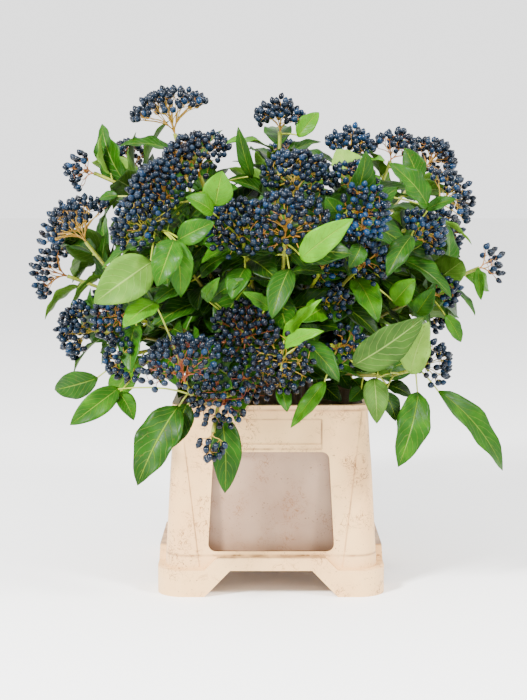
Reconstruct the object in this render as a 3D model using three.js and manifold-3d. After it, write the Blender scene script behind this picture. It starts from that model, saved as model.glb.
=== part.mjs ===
// Cut viburnum branches with blue-black berry heads and evergreen leaves, standing in water
// in a square moulded plastic flower bucket. Millimetres, +Z up, the ground at z = 0,
// the bucket's middle on the Z axis and its front towards -Y.
import * as THREE from "three";
import { mergeVertices } from "three/addons/utils/BufferGeometryUtils.js";
import Module from "manifold-3d";

const wasm = await Module();
wasm.setup();

// Driving dimensions
const GAP = 0.35; // free space left between neighbouring pieces
const FINEST = 0.15; // detail smaller than this is smoothed away
const FOOT = { half: 120, high: 28, corner: 28, wide: 22 }; // the frame that the bucket stands on
const ARCH = { low: 70, high: 43, bandTop: 42, bandHalf: 56 }; // the raised middle of each side of the foot
const WALL = { low: 112, high: 103, thick: 3, corner: 24, base: 28 }; // the outer wall, narrower upwards
const RIM = { z: 200, deep: 5, proud: 1.5 };
const TUB = { floor: 34, low: 86.5, high: 97, thick: 3.5, corner: 18 }; // the water tub inside the wall
const WINDOW = { low: 46, high: 151, halfLow: 66, halfHigh: 61, corner: 8 };
const PANEL = { low: 75.5, high: 95, deep: 1.2 }; // each face's sunk middle panel, between two slanted creases
const LABEL = { low: 154, high: 185, half: 53, deep: 2.2, lip: 5, back: 3 };
const WATER_TOP = 96;

const BERRY_TIP = 12.8; // from the middle of a tuft of berries out to their tips
const TUFT_STEP = 34; // room for each tuft round a head
const RING = 12; // corners round a tuft: six berries and the dips between them
const RAY = 1.2; // radius of the stalk under a tuft
const KNOB = 2.6; // radius of the joint where a head's stalks meet
const BEND = 0.36; // how far below a head its shoot starts to turn towards it, as a share of the shoot
const STEM = { foot: 3.4, shoot: 1.9, spread: 58, fork: 236, forkOut: 40 };
const BLADE = 0.8; // thickness of a leaf
const STALK = 1.3; // half the width of a leaf's stalk
const ROOM = 14; // how far the middle of a tuft stays from a blade that shows
const ROOTED = 9; // how much of a paired leaf may be inside the wood, in cubic millimetres
const BRANCHES = 12;
const CROWN = { x: 236, y: 245, z: 150, middle: 385 }; // the rounded mass of heads on the hidden side
const HEART = [0, 0, 260]; // heads face away from here

// The front view: an eye 1700 mm in front of the bucket, 426 mm up and turned 6 degrees down,
// seeing 1545 pixels to a unit slope in a picture of 527 x 700 pixels.
const EYE = { x: -8, back: 1700, up: 426, tilt: 6, pixels: 1545, middle: [263.5, 350] };

// Each head where the front view shows the middle of its dome, in pixels of that picture,
// with its depth from the bucket's middle and its radius in millimetres.
// rise turns the way it faces further up, or down below zero. A loose head shows its stalks.
const HEADS = [
  { at: [166, 101], depth: -20, radius: 47, rise: 0.6, loose: 1 },
  { at: [72, 169], depth: -20, radius: 25, rise: -0.5, loose: 1 },
  { at: [188, 149], depth: -110, radius: 43, rise: 0 },
  { at: [154, 180], depth: -140, radius: 43, rise: 0 },
  { at: [135, 212], depth: -165, radius: 40, rise: 0 },
  { at: [68, 214], depth: -60, radius: 45, rise: 0.8, loose: 1 },
  { at: [237, 221], depth: -180, radius: 38, rise: 0 },
  { at: [281, 106], depth: -30, radius: 31, rise: 0.3 },
  { at: [300, 168], depth: -150, radius: 41, rise: 0 },
  { at: [287, 214], depth: -200, radius: 47, rise: 0.4 },
  { at: [353, 135], depth: -50, radius: 30, rise: 0.8 },
  { at: [399, 138], depth: -30, radius: 29, rise: 0.6 },
  { at: [360, 172], depth: -125, radius: 29, rise: 0 },
  { at: [370, 214], depth: -180, radius: 34, rise: -0.6 },
  { at: [459, 190], depth: -30, radius: 38, rise: -0.1, loose: 1 },
  { at: [434, 226], depth: -100, radius: 31, rise: 0 },
  { at: [41, 268], depth: -20, radius: 36, rise: 0, loose: 1 },
  { at: [67, 330], depth: -60, radius: 36, rise: 0 },
  { at: [103, 314], depth: -140, radius: 30, rise: 0 },
  { at: [115, 362], depth: -140, radius: 29, rise: -0.2 },
  { at: [177, 354], depth: -215, radius: 45, rise: 1.6 },
  { at: [216, 396], depth: -215, radius: 35, rise: 0.3 },
  { at: [243, 328], depth: -185, radius: 37, rise: 0.3 },
  { at: [251, 384], depth: -190, radius: 27, rise: 0 },
  { at: [284, 364], depth: -215, radius: 35, rise: 0 },
  { at: [328, 262], depth: -150, radius: 25, rise: 0 },
  { at: [374, 256], depth: -150, radius: 28, rise: 0 },
  { at: [500, 261], depth: -10, radius: 25, rise: 0, loose: 1 },
  { at: [440, 358], depth: -130, radius: 30, rise: 0.5, loose: 1 },
  { at: [352, 346], depth: -165, radius: 25, rise: 0 },
  { at: [211, 453], depth: -215, radius: 19, rise: -2, loose: 1 },
  { at: [452, 290], depth: -60, radius: 22, rise: 0 },
  { at: [340, 298], depth: -150, radius: 22, rise: 0 },
];

// The heads on the hidden side: rings round the back, as [height, how many, radius, turn in degrees].
const BACK_RINGS = [
  [292, 5, 32, 0],
  [382, 5, 34, 9],
  [468, 3, 34, -6],
];

// The leaves that show, each from the foot of its blade to its tip in the front view,
// with its width and the depths of foot and tip in millimetres. under shows the pale underside.
const LEAVES = [
  { foot: [152, 262], tip: [94, 303], wide: 44, depth: [-205, -225], under: 1 },
  { foot: [174, 240], tip: [157, 286], wide: 29, depth: [-210, -232] },
  { foot: [177, 240], tip: [181, 297], wide: 26, depth: [-208, -214] },
  { foot: [157, 303], tip: [123, 328], wide: 27, depth: [-200, -226] },
  { foot: [215, 206], tip: [222, 171], wide: 30, depth: [-165, -170] },
  { foot: [213, 213], tip: [186, 197], wide: 24, depth: [-180, -196] },
  { foot: [178, 240], tip: [214, 222], wide: 24, depth: [-205, -212] },
  { foot: [252, 178], tip: [238, 127], wide: 15, depth: [-100, -110] },
  { foot: [118, 196], tip: [99, 199], wide: 12, depth: [-100, -90] },
  { foot: [98, 378], tip: [54, 390], wide: 29, depth: [-120, -100] },
  { foot: [119, 388], tip: [70, 425], wide: 26, depth: [-150, -165] },
  { foot: [179, 406], tip: [137, 485], wide: 42, depth: [-195, -225] },
  { foot: [187, 404], tip: [172, 448], wide: 28, depth: [-180, -196] },
  { foot: [221, 414], tip: [225, 493], wide: 32, depth: [-188, -200] },
  { foot: [118, 392], tip: [134, 420], wide: 20, depth: [-145, -160] },
  { foot: [280, 388], tip: [287, 412], wide: 16, depth: [-190, -205] },
  { foot: [325, 382], tip: [291, 427], wide: 17, depth: [-165, -190] },
  { foot: [374, 378], tip: [377, 423], wide: 26, depth: [-140, -165], under: 1 },
  { foot: [418, 392], tip: [398, 467], wide: 36, depth: [-120, -150] },
  { foot: [438, 391], tip: [505, 470], wide: 31, depth: [-110, -90] },
  { foot: [384, 392], tip: [396, 421], wide: 20, depth: [-125, -135] },
  { foot: [301, 259], tip: [353, 219], wide: 27, depth: [-195, -228] },
  { foot: [290, 269], tip: [272, 319], wide: 26, depth: [-195, -218] },
  { foot: [283, 340], tip: [322, 299], wide: 13, depth: [-180, -195] },
  { foot: [285, 347], tip: [323, 331], wide: 16, depth: [-190, -225] },
  { foot: [304, 342], tip: [339, 382], wide: 25, depth: [-175, -195] },
  { foot: [353, 365], tip: [424, 318], wide: 38, depth: [-165, -180], under: 1 },
  { foot: [411, 374], tip: [428, 322], wide: 32, depth: [-142, -156], under: 1 },
  { foot: [412, 236], tip: [387, 276], wide: 23, depth: [-150, -170] },
  { foot: [445, 315], tip: [461, 342], wide: 16, depth: [-70, -60] },
  { foot: [478, 268], tip: [481, 300], wide: 12, depth: [-20, -25] },
  { foot: [427, 207], tip: [389, 163], wide: 30, depth: [-120, -150] },
  { foot: [419, 181], tip: [405, 148], wide: 25, depth: [-80, -85] },
  { foot: [427, 210], tip: [456, 199], wide: 15, depth: [-100, -110] },
  { foot: [298, 137], tip: [319, 112], wide: 20, depth: [-50, -45] },
  { foot: [352, 180], tip: [337, 149], wide: 34, depth: [-95, -90], under: 1 },
  { foot: [246, 268], tip: [232, 300], wide: 26, depth: [-170, -190] },
  { foot: [211, 301], tip: [246, 279], wide: 20, depth: [-165, -185] },
  { foot: [205, 300], tip: [219, 278], wide: 14, depth: [-170, -200] },
  { foot: [268, 308], tip: [243, 292], wide: 14, depth: [-180, -215] },
  { foot: [394, 304], tip: [415, 279], wide: 25, depth: [-120, -130] },
  { foot: [416, 314], tip: [434, 288], wide: 22, depth: [-100, -115] },
  { foot: [361, 245], tip: [349, 268], wide: 20, depth: [-165, -180] },
  { foot: [340, 216], tip: [326, 197], wide: 20, depth: [-165, -175] },
];

// Pairs of leaves below each head: [distance below its joint, length, width].
const PAIRS = [
  [16, 56, 26],
  [48, 66, 30],
  [84, 70, 32],
];

// Repeatable chance from 0 to 1 for the pair of numbers a, b.
function chance(a, b) {
  const s = Math.sin(a * 12.9898 + b * 78.233) * 43758.5453;
  return s - Math.floor(s);
}

const vec = (x, y, z) => new THREE.Vector3(x, y, z);
const rad = THREE.MathUtils.degToRad;

// The point that the front view shows at [across, down], at a depth from the bucket's middle.
function place([across, down], depth) {
  const away = EYE.back + depth;
  const slope = (EYE.middle[1] - down) / EYE.pixels;
  const tilt = Math.tan(rad(EYE.tilt));
  const reach = Math.cos(rad(EYE.tilt)) * (1 + slope * tilt);
  return vec(
    EYE.x + ((across - EYE.middle[0]) * away) / (EYE.pixels * reach),
    depth,
    EYE.up + (away * (slope - tilt)) / (1 + slope * tilt),
  );
}

// A closed solid from a geometry, whose shared corners are merged first.
function solid(geometry) {
  const bare = geometry.clone();
  bare.deleteAttribute("normal");
  bare.deleteAttribute("uv");
  const merged = mergeVertices(bare, 1e-4);
  return new wasm.Manifold(
    new wasm.Mesh({
      numProp: 3,
      vertProperties: merged.attributes.position.array,
      triVerts: new Uint32Array(merged.index.array),
    }),
  );
}

// A closed solid from corner points and the three corners of each face.
function faceted(points, faces) {
  const geometry = new THREE.BufferGeometry().setFromPoints(points);
  geometry.setIndex(faces.flat());
  return solid(geometry);
}

// Rings with the same number of points, joined into a tube with flat ends.
function loft(rings) {
  const n = rings[0].length;
  const faces = [];
  for (let r = 0; r + 1 < rings.length; r++)
    for (let i = 0; i < n; i++) {
      const a = r * n + i;
      const b = r * n + ((i + 1) % n);
      faces.push([a, b, b + n], [a, b + n, a + n]);
    }
  const last = (rings.length - 1) * n;
  for (let i = 1; i + 1 < n; i++) faces.push([0, i + 1, i], [last, last + i, last + i + 1]);
  return faceted(rings.flat(), faces);
}

// A level square with rounded corners.
function roundSquare(half, corner, z, steps = 3) {
  const ring = [];
  for (let quarter = 0; quarter < 4; quarter++)
    for (let i = 0; i <= steps; i++) {
      const angle = ((quarter + i / steps) * Math.PI) / 2;
      const middle = ((quarter + 0.5) * Math.PI) / 2;
      const inset = (half - corner) * Math.SQRT2;
      ring.push(
        vec(
          inset * Math.cos(middle) + corner * Math.cos(angle),
          inset * Math.sin(middle) + corner * Math.sin(angle),
          z,
        ),
      );
    }
  return ring;
}

// The outline of a face's shape, extruded through y from near to far.
function through(outline, near, far) {
  const shape = new THREE.Shape(outline.map(([x, z]) => new THREE.Vector2(x, z)));
  const geometry = new THREE.ExtrudeGeometry(shape, { depth: far - near, bevelEnabled: false });
  return solid(geometry.rotateX(Math.PI / 2).translate(0, far, 0));
}

const join = (solids) => solids.reduce((a, b) => a.add(b));
const quarterTurns = (piece) => [0, 90, 180, 270].map((turn) => piece.rotate([0, 0, turn]));
const halfTurns = (piece) => [piece, piece.rotate([0, 0, 180])];

// The half width of a slanted wall at height z.
const along = (low, high, z0, z1, z) => low + ((high - low) * (z - z0)) / (z1 - z0);
const wallAt = (z) => along(WALL.low, WALL.high, WALL.base, RIM.z, z);
const tubAt = (z) => along(TUB.low, TUB.high, TUB.floor, RIM.z, z);

// The foot: four bands with a raised arch each, and a low block at each corner.
function foot() {
  const { half, high, wide } = FOOT;
  const half1 = [
    [half, 0],
    [half, high],
    [ARCH.low, high],
    [ARCH.bandHalf, ARCH.bandTop],
  ];
  const outline = [
    [ARCH.low, 0],
    ...half1,
    ...half1.reverse().map(([x, z]) => [-x, z]),
    [-ARCH.low, 0],
    [-ARCH.high, high],
    [ARCH.high, high],
  ];
  const band = through(outline, -half, -half + wide);
  const rounded = loft([
    roundSquare(half, FOOT.corner, -1, 4),
    roundSquare(half, FOOT.corner, ARCH.bandTop + 1, 4),
  ]);
  return join(quarterTurns(band)).intersect(rounded);
}

// A window through one face: a rounded four-sided outline, narrower upwards.
function windowHole() {
  const { low, high, halfLow, halfHigh, corner } = WINDOW;
  const outline = [];
  const corners = [
    [halfLow - corner, low + corner, -90],
    [halfHigh - corner, high - corner, 0],
    [-halfHigh + corner, high - corner, 90],
    [-halfLow + corner, low + corner, 180],
  ];
  for (const [x, z, from] of corners)
    for (const turn of [0, 30, 60, 90]) {
      const angle = rad(from + turn);
      outline.push([x + corner * Math.cos(angle), z + corner * Math.sin(angle)]);
    }
  return through(outline, -FOOT.half - 1, -tubAt(high) - TUB.thick - 0.5);
}

// A slab that follows a slanted face: its half widths at z0 and z1, from deep inside the wall to out past it.
function faceSlab(half0, half1, z0, z1, inner, outer) {
  const ring = (half, z) => [
    vec(-half, -wallAt(z) - outer, z),
    vec(half, -wallAt(z) - outer, z),
    vec(half, -wallAt(z) + inner, z),
    vec(-half, -wallAt(z) + inner, z),
  ];
  return loft([ring(half0, z0), ring(half1, z1)]);
}

function bucket() {
  const skin = (inset) => [
    roundSquare(WALL.low - inset, WALL.corner, WALL.base - (inset ? 1 : 0)),
    roundSquare(WALL.high - inset, WALL.corner - 4, RIM.z - (inset ? RIM.deep : 0)),
  ];
  const { low, high, half, deep, lip, back } = LABEL;
  const slot = faceSlab(half, half, low, high, deep, 2)
    .subtract(faceSlab(half + 1, half + 1, low - 1, low + lip, deep + 1, -deep / 2));
  const outside = loft(skin(0))
    .subtract(join(quarterTurns(faceSlab(PANEL.low, PANEL.high, WALL.base + 2, RIM.z - 6, PANEL.deep, 2))))
    .subtract(join(halfTurns(slot)));
  const inside = loft(skin(WALL.thick)).subtract(
    join(halfTurns(faceSlab(half + 4, half + 4, low - 4, high + 4, WALL.thick + back, 0))),
  );
  const lipRing = loft([
    roundSquare(WALL.high + RIM.proud, WALL.corner - 4, RIM.z - RIM.deep),
    roundSquare(WALL.high + RIM.proud, WALL.corner - 4, RIM.z),
  ]);
  const tubOut = loft([
    roundSquare(TUB.low + TUB.thick, TUB.corner + 3, TUB.floor - 4),
    roundSquare(tubAt(RIM.z - 1) + TUB.thick, TUB.corner, RIM.z - 1),
  ]);
  const cavity = loft([
    roundSquare(TUB.low, TUB.corner, TUB.floor),
    roundSquare(tubAt(RIM.z + 1), TUB.corner, RIM.z + 1),
  ]);
  return outside
    .subtract(inside)
    .subtract(join(quarterTurns(windowHole())))
    .add(lipRing)
    .add(tubOut)
    .add(foot())
    .subtract(cavity);
}

// Two directions at right angles to a direction and to each other.
function across(direction) {
  const side = Math.abs(direction.z) < 0.9 ? vec(0, 0, 1) : vec(0, 1, 0);
  const first = side.cross(direction).normalize();
  return [first, direction.clone().cross(first)];
}

// A rod of even thickness through a row of points.
function rod(points, radius, sides) {
  let [u] = across(points[1].clone().sub(points[0]).normalize());
  const rings = points.map((point, i) => {
    const before = points[Math.max(i - 1, 0)];
    const after = points[Math.min(i + 1, points.length - 1)];
    const way = after.clone().sub(before).normalize();
    u = u.clone().addScaledVector(way, -u.dot(way)).normalize();
    const v = way.clone().cross(u);
    return Array.from({ length: sides }, (_, k) => {
      const angle = (2 * Math.PI * k) / sides;
      return point
        .clone()
        .addScaledVector(u, radius * Math.cos(angle))
        .addScaledVector(v, radius * Math.sin(angle));
    });
  });
  return loft(rings);
}

// Every head: the middle of its dome, the way it faces, its radius and the joint that its stalks leave.
function plan() {
  const domes = HEADS.map(({ at, depth, radius, rise, loose }) => ({ middle: place(at, depth), radius, rise, loose }));
  for (const [z, count, radius, turn] of BACK_RINGS)
    for (let i = 0; i < count; i++) {
      const angle = rad(turn + (180 * (i + 0.5)) / count);
      const level = Math.sqrt(1 - ((z - CROWN.middle) / CROWN.z / 1.3) ** 2);
      domes.push({
        middle: vec(CROWN.x * level * Math.cos(angle), CROWN.y * level * Math.sin(angle), z),
        radius,
        rise: 0,
      });
    }
  return domes.map(({ middle, radius, rise, loose }, index) => {
    const facing = middle.clone().sub(vec(...HEART)).normalize();
    facing.z += rise;
    facing.normalize();
    const joint = middle.clone().addScaledVector(facing, -0.55 * radius - 10);
    const out = radius - BERRY_TIP;
    const count = out < 5 ? 0 : Math.max(2, Math.floor((2 * Math.PI * out) / TUFT_STEP));
    return { index, middle, radius, out, count, facing, joint, dense: !loose && count > 2, tufts: [] };
  });
}

// The place on a head's dome at an angle round it, so far out and so high.
function onDome({ middle, facing }, angle, out, height) {
  const [u, v] = across(facing);
  return middle
    .clone()
    .addScaledVector(u, out * Math.cos(angle))
    .addScaledVector(v, out * Math.sin(angle))
    .addScaledVector(facing, height);
}

const turnOfTuft = ({ index, count }, i) =>
  (2 * Math.PI * (i + 0.35 * chance(index, i))) / count + 6 * chance(index, 40);

// The middles of a head's tufts: a ring round its dome, and one on top where there is room.
function tuftSpots(head) {
  const { index, out, count, middle, facing } = head;
  const ring = Array.from({ length: count }, (_, i) =>
    onDome(head, turnOfTuft(head, i), out, -4 - 5 * chance(index, i + 10)),
  );
  const top = out < 5 || out >= 17 ? [middle.clone().addScaledVector(facing, 0.26 * out)] : [];
  return [...ring, ...top];
}

// The heads in order round the bucket, shared out among the branches that carry them.
function share(heads) {
  const order = [...heads].sort((a, b) => turnOf(a.joint) - turnOf(b.joint));
  return Array.from({ length: BRANCHES }, (_, k) => {
    const from = Math.round((k * order.length) / BRANCHES);
    const to = Math.round(((k + 1) * order.length) / BRANCHES);
    const carried = order.slice(from, to);
    const sum = carried.reduce((s, h) => s.add(vec(h.joint.x, h.joint.y, 0).normalize()), vec(0, 0, 0));
    const out = sum.normalize();
    const foot = out.clone().multiplyScalar(STEM.spread).setZ(TUB.floor + GAP);
    const fork = out.clone().multiplyScalar(STEM.forkOut).setZ(STEM.fork);
    return { k, carried, foot, fork };
  });
}

function turnOf({ x, y }) {
  const angle = Math.atan2(y, x);
  return angle < -Math.PI / 2 ? angle + 2 * Math.PI : angle;
}

// The curved way of a shoot, from its branch's fork to just under a head's joint.
function shootWay(branch, head) {
  const end = head.joint.clone().addScaledVector(head.facing, -KNOB - GAP);
  const bend = end.clone().addScaledVector(head.facing, -BEND * end.distanceTo(branch.fork));
  return new THREE.QuadraticBezierCurve3(branch.fork, bend, end).getPoints(4);
}

// Points spread along the straight lengths of a shoot.
function walk(way, count) {
  return Array.from({ length: count + 1 }, (_, i) => {
    const at = Math.min((i * (way.length - 1)) / count, way.length - 1.001);
    return way[Math.floor(at)].clone().lerp(way[Math.floor(at) + 1], at % 1);
  });
}

const distanceToWay = (point, spots) =>
  Math.min(...spots.map((spot) => spot.distanceTo(point)));

const heads = plan();
const branches = share(heads);
for (const branch of branches)
  for (const head of branch.carried) {
    head.branch = branch;
    head.way = shootWay(branch, head);
    head.steps = walk(head.way, 40);
  }

// A tuft is left out where it would sit in another head's tuft, in its own head's, or on a shoot.
const placed = [];
for (const head of heads)
  for (const spot of tuftSpots(head)) {
    const crowded = placed.some((p) => p.spot.distanceTo(spot) < (p.head === head ? 16 : 25.5));
    const onShoot = heads.some((h) => h !== head && distanceToWay(spot, h.steps) < 15.5);
    if (crowded || onShoot) continue;
    head.tufts.push(spot);
    placed.push({ head, spot });
  }

// One tuft: six berries round one on top. In a loose head it is drawn in to the stalk
// that runs from the head's joint. grow makes it fatter all over.
function tuft(head, spot, grow) {
  const axis = spot.clone().sub(head.joint).normalize();
  const lean = axis.clone().lerp(head.facing, 0.45).normalize();
  const [u, v] = across(lean);
  const p = u.clone().addScaledVector(axis, -u.dot(axis)).normalize();
  const q = axis.clone().cross(p);
  const round = (from, [one, two], radius, turn) =>
    from
      .clone()
      .addScaledVector(one, radius * Math.cos(turn))
      .addScaledVector(two, radius * Math.sin(turn));
  const points = [spot.clone().addScaledVector(lean, 9.5 + grow)];
  for (let i = 0; i < RING; i++) {
    const berry = i % 2 === 0;
    const out = (berry ? BERRY_TIP : 8.8) + grow;
    points.push(round(spot, [u, v], out, (2 * Math.PI * i) / RING).addScaledVector(lean, berry ? 0.5 : 3));
  }
  const neck = RING + 1;
  const ends = head.dense ? [] : [-7.5 - grow, 0.8 - spot.distanceTo(head.joint)];
  for (const distance of ends)
    for (let i = 0; i < 3; i++)
      points.push(round(spot, [p, q], RAY + grow, (2 * Math.PI * i) / 3).addScaledVector(axis, distance));
  if (head.dense) points.push(spot.clone().addScaledVector(lean, -7.5 - grow));
  const below = (i) => neck + (head.dense ? 0 : Math.round((3 * i) / RING) % 3);
  const faces = [];
  for (let i = 0; i < RING; i++) {
    const j = (i + 1) % RING;
    faces.push([0, 1 + i, 1 + j], [1 + j, 1 + i, below(i)]);
    if (below(i) !== below(j)) faces.push([1 + j, below(i), below(j)]);
  }
  for (let i = 0; i < 3 && !head.dense; i++) {
    const [a, b] = [neck + i, neck + ((i + 1) % 3)];
    faces.push([b, a, a + 3], [b, a + 3, b + 3]);
  }
  if (!head.dense) faces.push([neck + 5, neck + 4, neck + 3]);
  return faceted(points, faces);
}

// The core of a dense head: its stalks and inner berries as one solid that spreads from the joint
// to a corner under each tuft of the ring.
function core(head, grow) {
  const { index, joint, facing, out, count, middle } = head;
  const rim = Array.from({ length: count }, (_, i) => {
    const turn = turnOfTuft(head, i);
    const full = head.tufts.some((spot) => spot.distanceTo(onDome(head, turn, out, -6)) < 8);
    return onDome(head, turn, (full ? 0.85 : 0.45) * out + grow, -6);
  });
  const base = joint.clone().addScaledVector(facing, 0.6);
  const [u, v] = across(facing);
  const start = [0, 1, 2].map((i) => {
    const angle = (2 * Math.PI * i) / 3 + turnOfTuft(head, 0);
    const radius = 1.7 + grow;
    return base.clone().addScaledVector(u, radius * Math.cos(angle)).addScaledVector(v, radius * Math.sin(angle));
  });
  const top = middle.clone().addScaledVector(facing, 0.26 * out - 1 + grow);
  const faces = [[0, 2, 1]];
  const below = (i) => Math.round((3 * i) / count) % 3;
  for (let i = 0; i < count; i++) {
    const j = (i + 1) % count;
    faces.push([3 + i, 3 + j, 3 + count], [3 + j, 3 + i, below(i)]);
    if (below(i) !== below(j)) faces.push([3 + j, below(i), below(j)]);
  }
  return faceted([...start, ...rim, top], faces);
}

function headSolid(head, grow = 0) {
  const knob = solid(new THREE.OctahedronGeometry(KNOB + grow)).translate(head.joint.toArray());
  const inner = head.dense ? [core(head, grow)] : [];
  return join([knob, ...inner, ...head.tufts.map((spot) => tuft(head, spot, grow))]);
}

// The woody parts of a branch: its stem in the bucket and a shoot to each of its heads.
function woodSolid(branch, grow = 0) {
  const { foot, fork, carried } = branch;
  const belly = foot.clone().lerp(fork, 0.5);
  const top = fork.clone().addScaledVector(fork.clone().sub(belly).normalize(), 3);
  const stem = rod([foot, belly, top], STEM.foot + grow, 5);
  return join([stem, ...carried.map((h) => rod(h.way, STEM.shoot + grow, 4))]);
}

// How a leaf lies: its root on the wood, the foot and tip of its blade, and the way its upper face looks.
function leafFrame(root, foot, tip, look, wide, index) {
  const length = foot.distanceTo(tip);
  const along = tip.clone().sub(foot).normalize();
  const turn = rad(50 * (chance(index, 3) - 0.5));
  const flat = look.clone().addScaledVector(along, -look.dot(along)).normalize();
  const up = flat.clone().applyAxisAngle(along, turn);
  const side = along.clone().cross(up);
  return { root, foot, tip, along, up, side, wide, length, index };
}

// Rows of points joined across into a sheet, given the same thickness all over along up.
function sheet(rows, up, thick) {
  const middle = rows.flat();
  let next = 0;
  const at = rows.map((row) => row.map(() => next++));
  const upper = [];
  for (let r = 0; r + 1 < at.length; r++) {
    const [a, b] = [at[r], at[r + 1]];
    for (let i = 0, j = 0; i + 1 < a.length || j + 1 < b.length; ) {
      const ahead = j + 1 < b.length && (j + 0.5) / (b.length - 1) <= (i + 0.5) / Math.max(a.length - 1, 0.1);
      upper.push([a[i], b[j], ahead ? b[++j] : a[++i]]);
    }
  }
  const rim = [...new Set([at[0][0], ...at.map((row) => row.at(-1)), ...at.map((row) => row[0]).reverse()])];
  const lift = up.clone().multiplyScalar(thick / 2);
  const points = [...middle.map((p) => p.clone().add(lift)), ...middle.map((p) => p.clone().sub(lift))];
  const n = middle.length;
  const faces = [...upper.map(([a, b, c]) => [a, c, b]), ...upper.map((face) => face.map((i) => i + n))];
  rim.forEach((a, i) => {
    const b = rim[(i + 1) % rim.length];
    faces.push([b, a, a + n], [b, a + n, b + n]);
  });
  return faceted(points, faces);
}

// The blade and stalk of one leaf, a thin arched solid folded a little along its rib.
function leafSolid({ root, foot, along, up, side, wide, length }, grow = 0) {
  const station = (share, half, rise) => {
    const spine = foot.clone().addScaledVector(along, share * length).addScaledVector(up, 0.1 * rise * length);
    const edge = (sign) =>
      spine
        .clone()
        .addScaledVector(side, sign * (half + grow))
        .addScaledVector(up, 0.24 * half);
    return [edge(-1), spine, edge(1)];
  };
  const narrow = (from) => [-1, 1].map((sign) => from.clone().addScaledVector(side, sign * (STALK + grow)));
  const blade = [
    station(0.3, 0.48 * wide, 1),
    station(0.68, 0.4 * wide, 0.85),
    [foot.clone().addScaledVector(along, length + grow)],
  ];
  const stalk = root.distanceTo(foot) > 14 ? [narrow(root), narrow(foot)] : [[root.clone().lerp(foot, -0.2)]];
  return sheet([...stalk, ...blade], up, BLADE + 2 * grow);
}

// Points along each stalk of berries, which the leaf stalks keep clear of.
const rayPoints = placed.flatMap(({ head, spot }) =>
  [0.15, 0.35, 0.55, 0.75].map((share) => head.joint.clone().lerp(spot, share)),
);

// Whether a leaf stalk from the wood to the foot of its blade has free space round it.
function stalkIsClear(from, to, branch) {
  return [0.2, 0.4, 0.6, 0.8, 1].every((share) => {
    const at = from.clone().lerp(to, share);
    return (
      placed.every(({ spot }) => spot.distanceTo(at) > ROOM) &&
      rayPoints.every((point) => point.distanceTo(at) > 4) &&
      heads.every((head) => head.branch === branch || distanceToWay(at, head.steps) > 4)
    );
  });
}

// The nearest point of any shoot that a clear stalk can leave for a place, with the branch it belongs to.
function nearestWood(point) {
  const choices = heads.flatMap((head) =>
    head.steps.slice(4).map((step) => ({ step, branch: head.branch, distance: step.distanceTo(point) })),
  );
  choices.sort((a, b) => a.distance - b.distance);
  return choices.slice(0, 150).find(({ step, branch }) => stalkIsClear(step, point, branch)) ?? choices[0];
}

// How near a blade comes to the middle of any tuft.
function nearestTuft({ foot, along, side, wide, length }) {
  let nearest = Infinity;
  for (const share of [0.05, 0.3, 0.5, 0.7, 0.95])
    for (const edge of [-0.42, 0, 0.42]) {
      const spot = foot.clone().addScaledVector(along, share * length).addScaledVector(side, edge * wide);
      for (const { spot: tuft } of placed) nearest = Math.min(nearest, tuft.distanceTo(spot));
    }
  return nearest;
}

// The leaves that the front view shows, each moved towards the eye until it is clear of the tufts.
function shownLeaves() {
  return LEAVES.map(({ foot, tip, wide, depth }, index) => {
    let best = null;
    for (let step = 0; step < 7; step++) {
      const nearer = 6 * step;
      const a = place(foot, depth[0] - nearer);
      const b = place(tip, depth[1] - nearer);
      const wood = nearestWood(a);
      const leaf = leafFrame(wood.step.clone(), a, b, vec(0, -1, 0.35), wide, index);
      const room = nearestTuft(leaf);
      if (!best || room > best.room) best = { branch: wood.branch, shown: true, room, ...leaf };
      if (room > ROOM) break;
    }
    return best;
  });
}

// Pairs of leaves on opposite sides of a shoot, each pair turned a quarter from the one above it.
function pairedLeaves() {
  const leaves = [];
  for (const head of heads) {
    const [u, v] = across(head.facing);
    const pairs = head.index >= HEADS.length ? 2 + (head.index % 2) : head.radius > 21 ? 1 : 0;
    PAIRS.slice(0, pairs).forEach(([below, length, wide], p) => {
      const start = head.steps[Math.max(4, 40 - Math.round(below / 4))];
      for (const sign of [-1, 1]) {
        const index = 100 + head.index * 8 + p * 2 + (sign + 1) / 2;
        const angle = Math.PI * (p / 2 + chance(head.index, 77));
        const out = u.clone().multiplyScalar(Math.cos(angle)).addScaledVector(v, Math.sin(angle));
        const way = out.multiplyScalar(sign).addScaledVector(head.facing, 0.35 + 0.5 * chance(index, 5));
        way.z -= 0.25 * chance(index, 6);
        way.normalize();
        const size = 0.8 + 0.4 * chance(index, 7);
        const foot = start.clone().addScaledVector(way, 7);
        const tip = foot.clone().addScaledVector(way, length * size);
        const look = head.facing.clone().addScaledVector(vec(0, 0, 1), 0.3);
        leaves.push({
          branch: head.branch,
          shown: false,
          ...leafFrame(start.clone(), foot, tip, look, wide * size, index),
        });
      }
    });
  }
  return leaves;
}

const boxesMeet = (a, b) => {
  const [p, q] = [a.boundingBox(), b.boundingBox()];
  return [0, 1, 2].every((i) => p.min[i] <= q.max[i] && q.min[i] <= p.max[i]);
};

// The largest body of a solid that cutting may have split.
const largest = (piece) =>
  piece.decompose().reduce((best, body) => (body.volume() > best.volume() ? body : best));

const bucketSolid = bucket();
const wood = branches.map((branch) => woodSolid(branch));
const woodClear = branches.map((branch) => woodSolid(branch, GAP));

// Heads come first, cut only by shoots and by the heads before them.
const headSolids = [];
const headClear = [];
for (const head of heads) {
  let made = headSolid(head);
  for (const other of [...woodClear, ...headClear]) if (boxesMeet(made, other)) made = made.subtract(other);
  headSolids.push(largest(made));
  headClear.push(headSolid(head, GAP));
}

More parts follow.
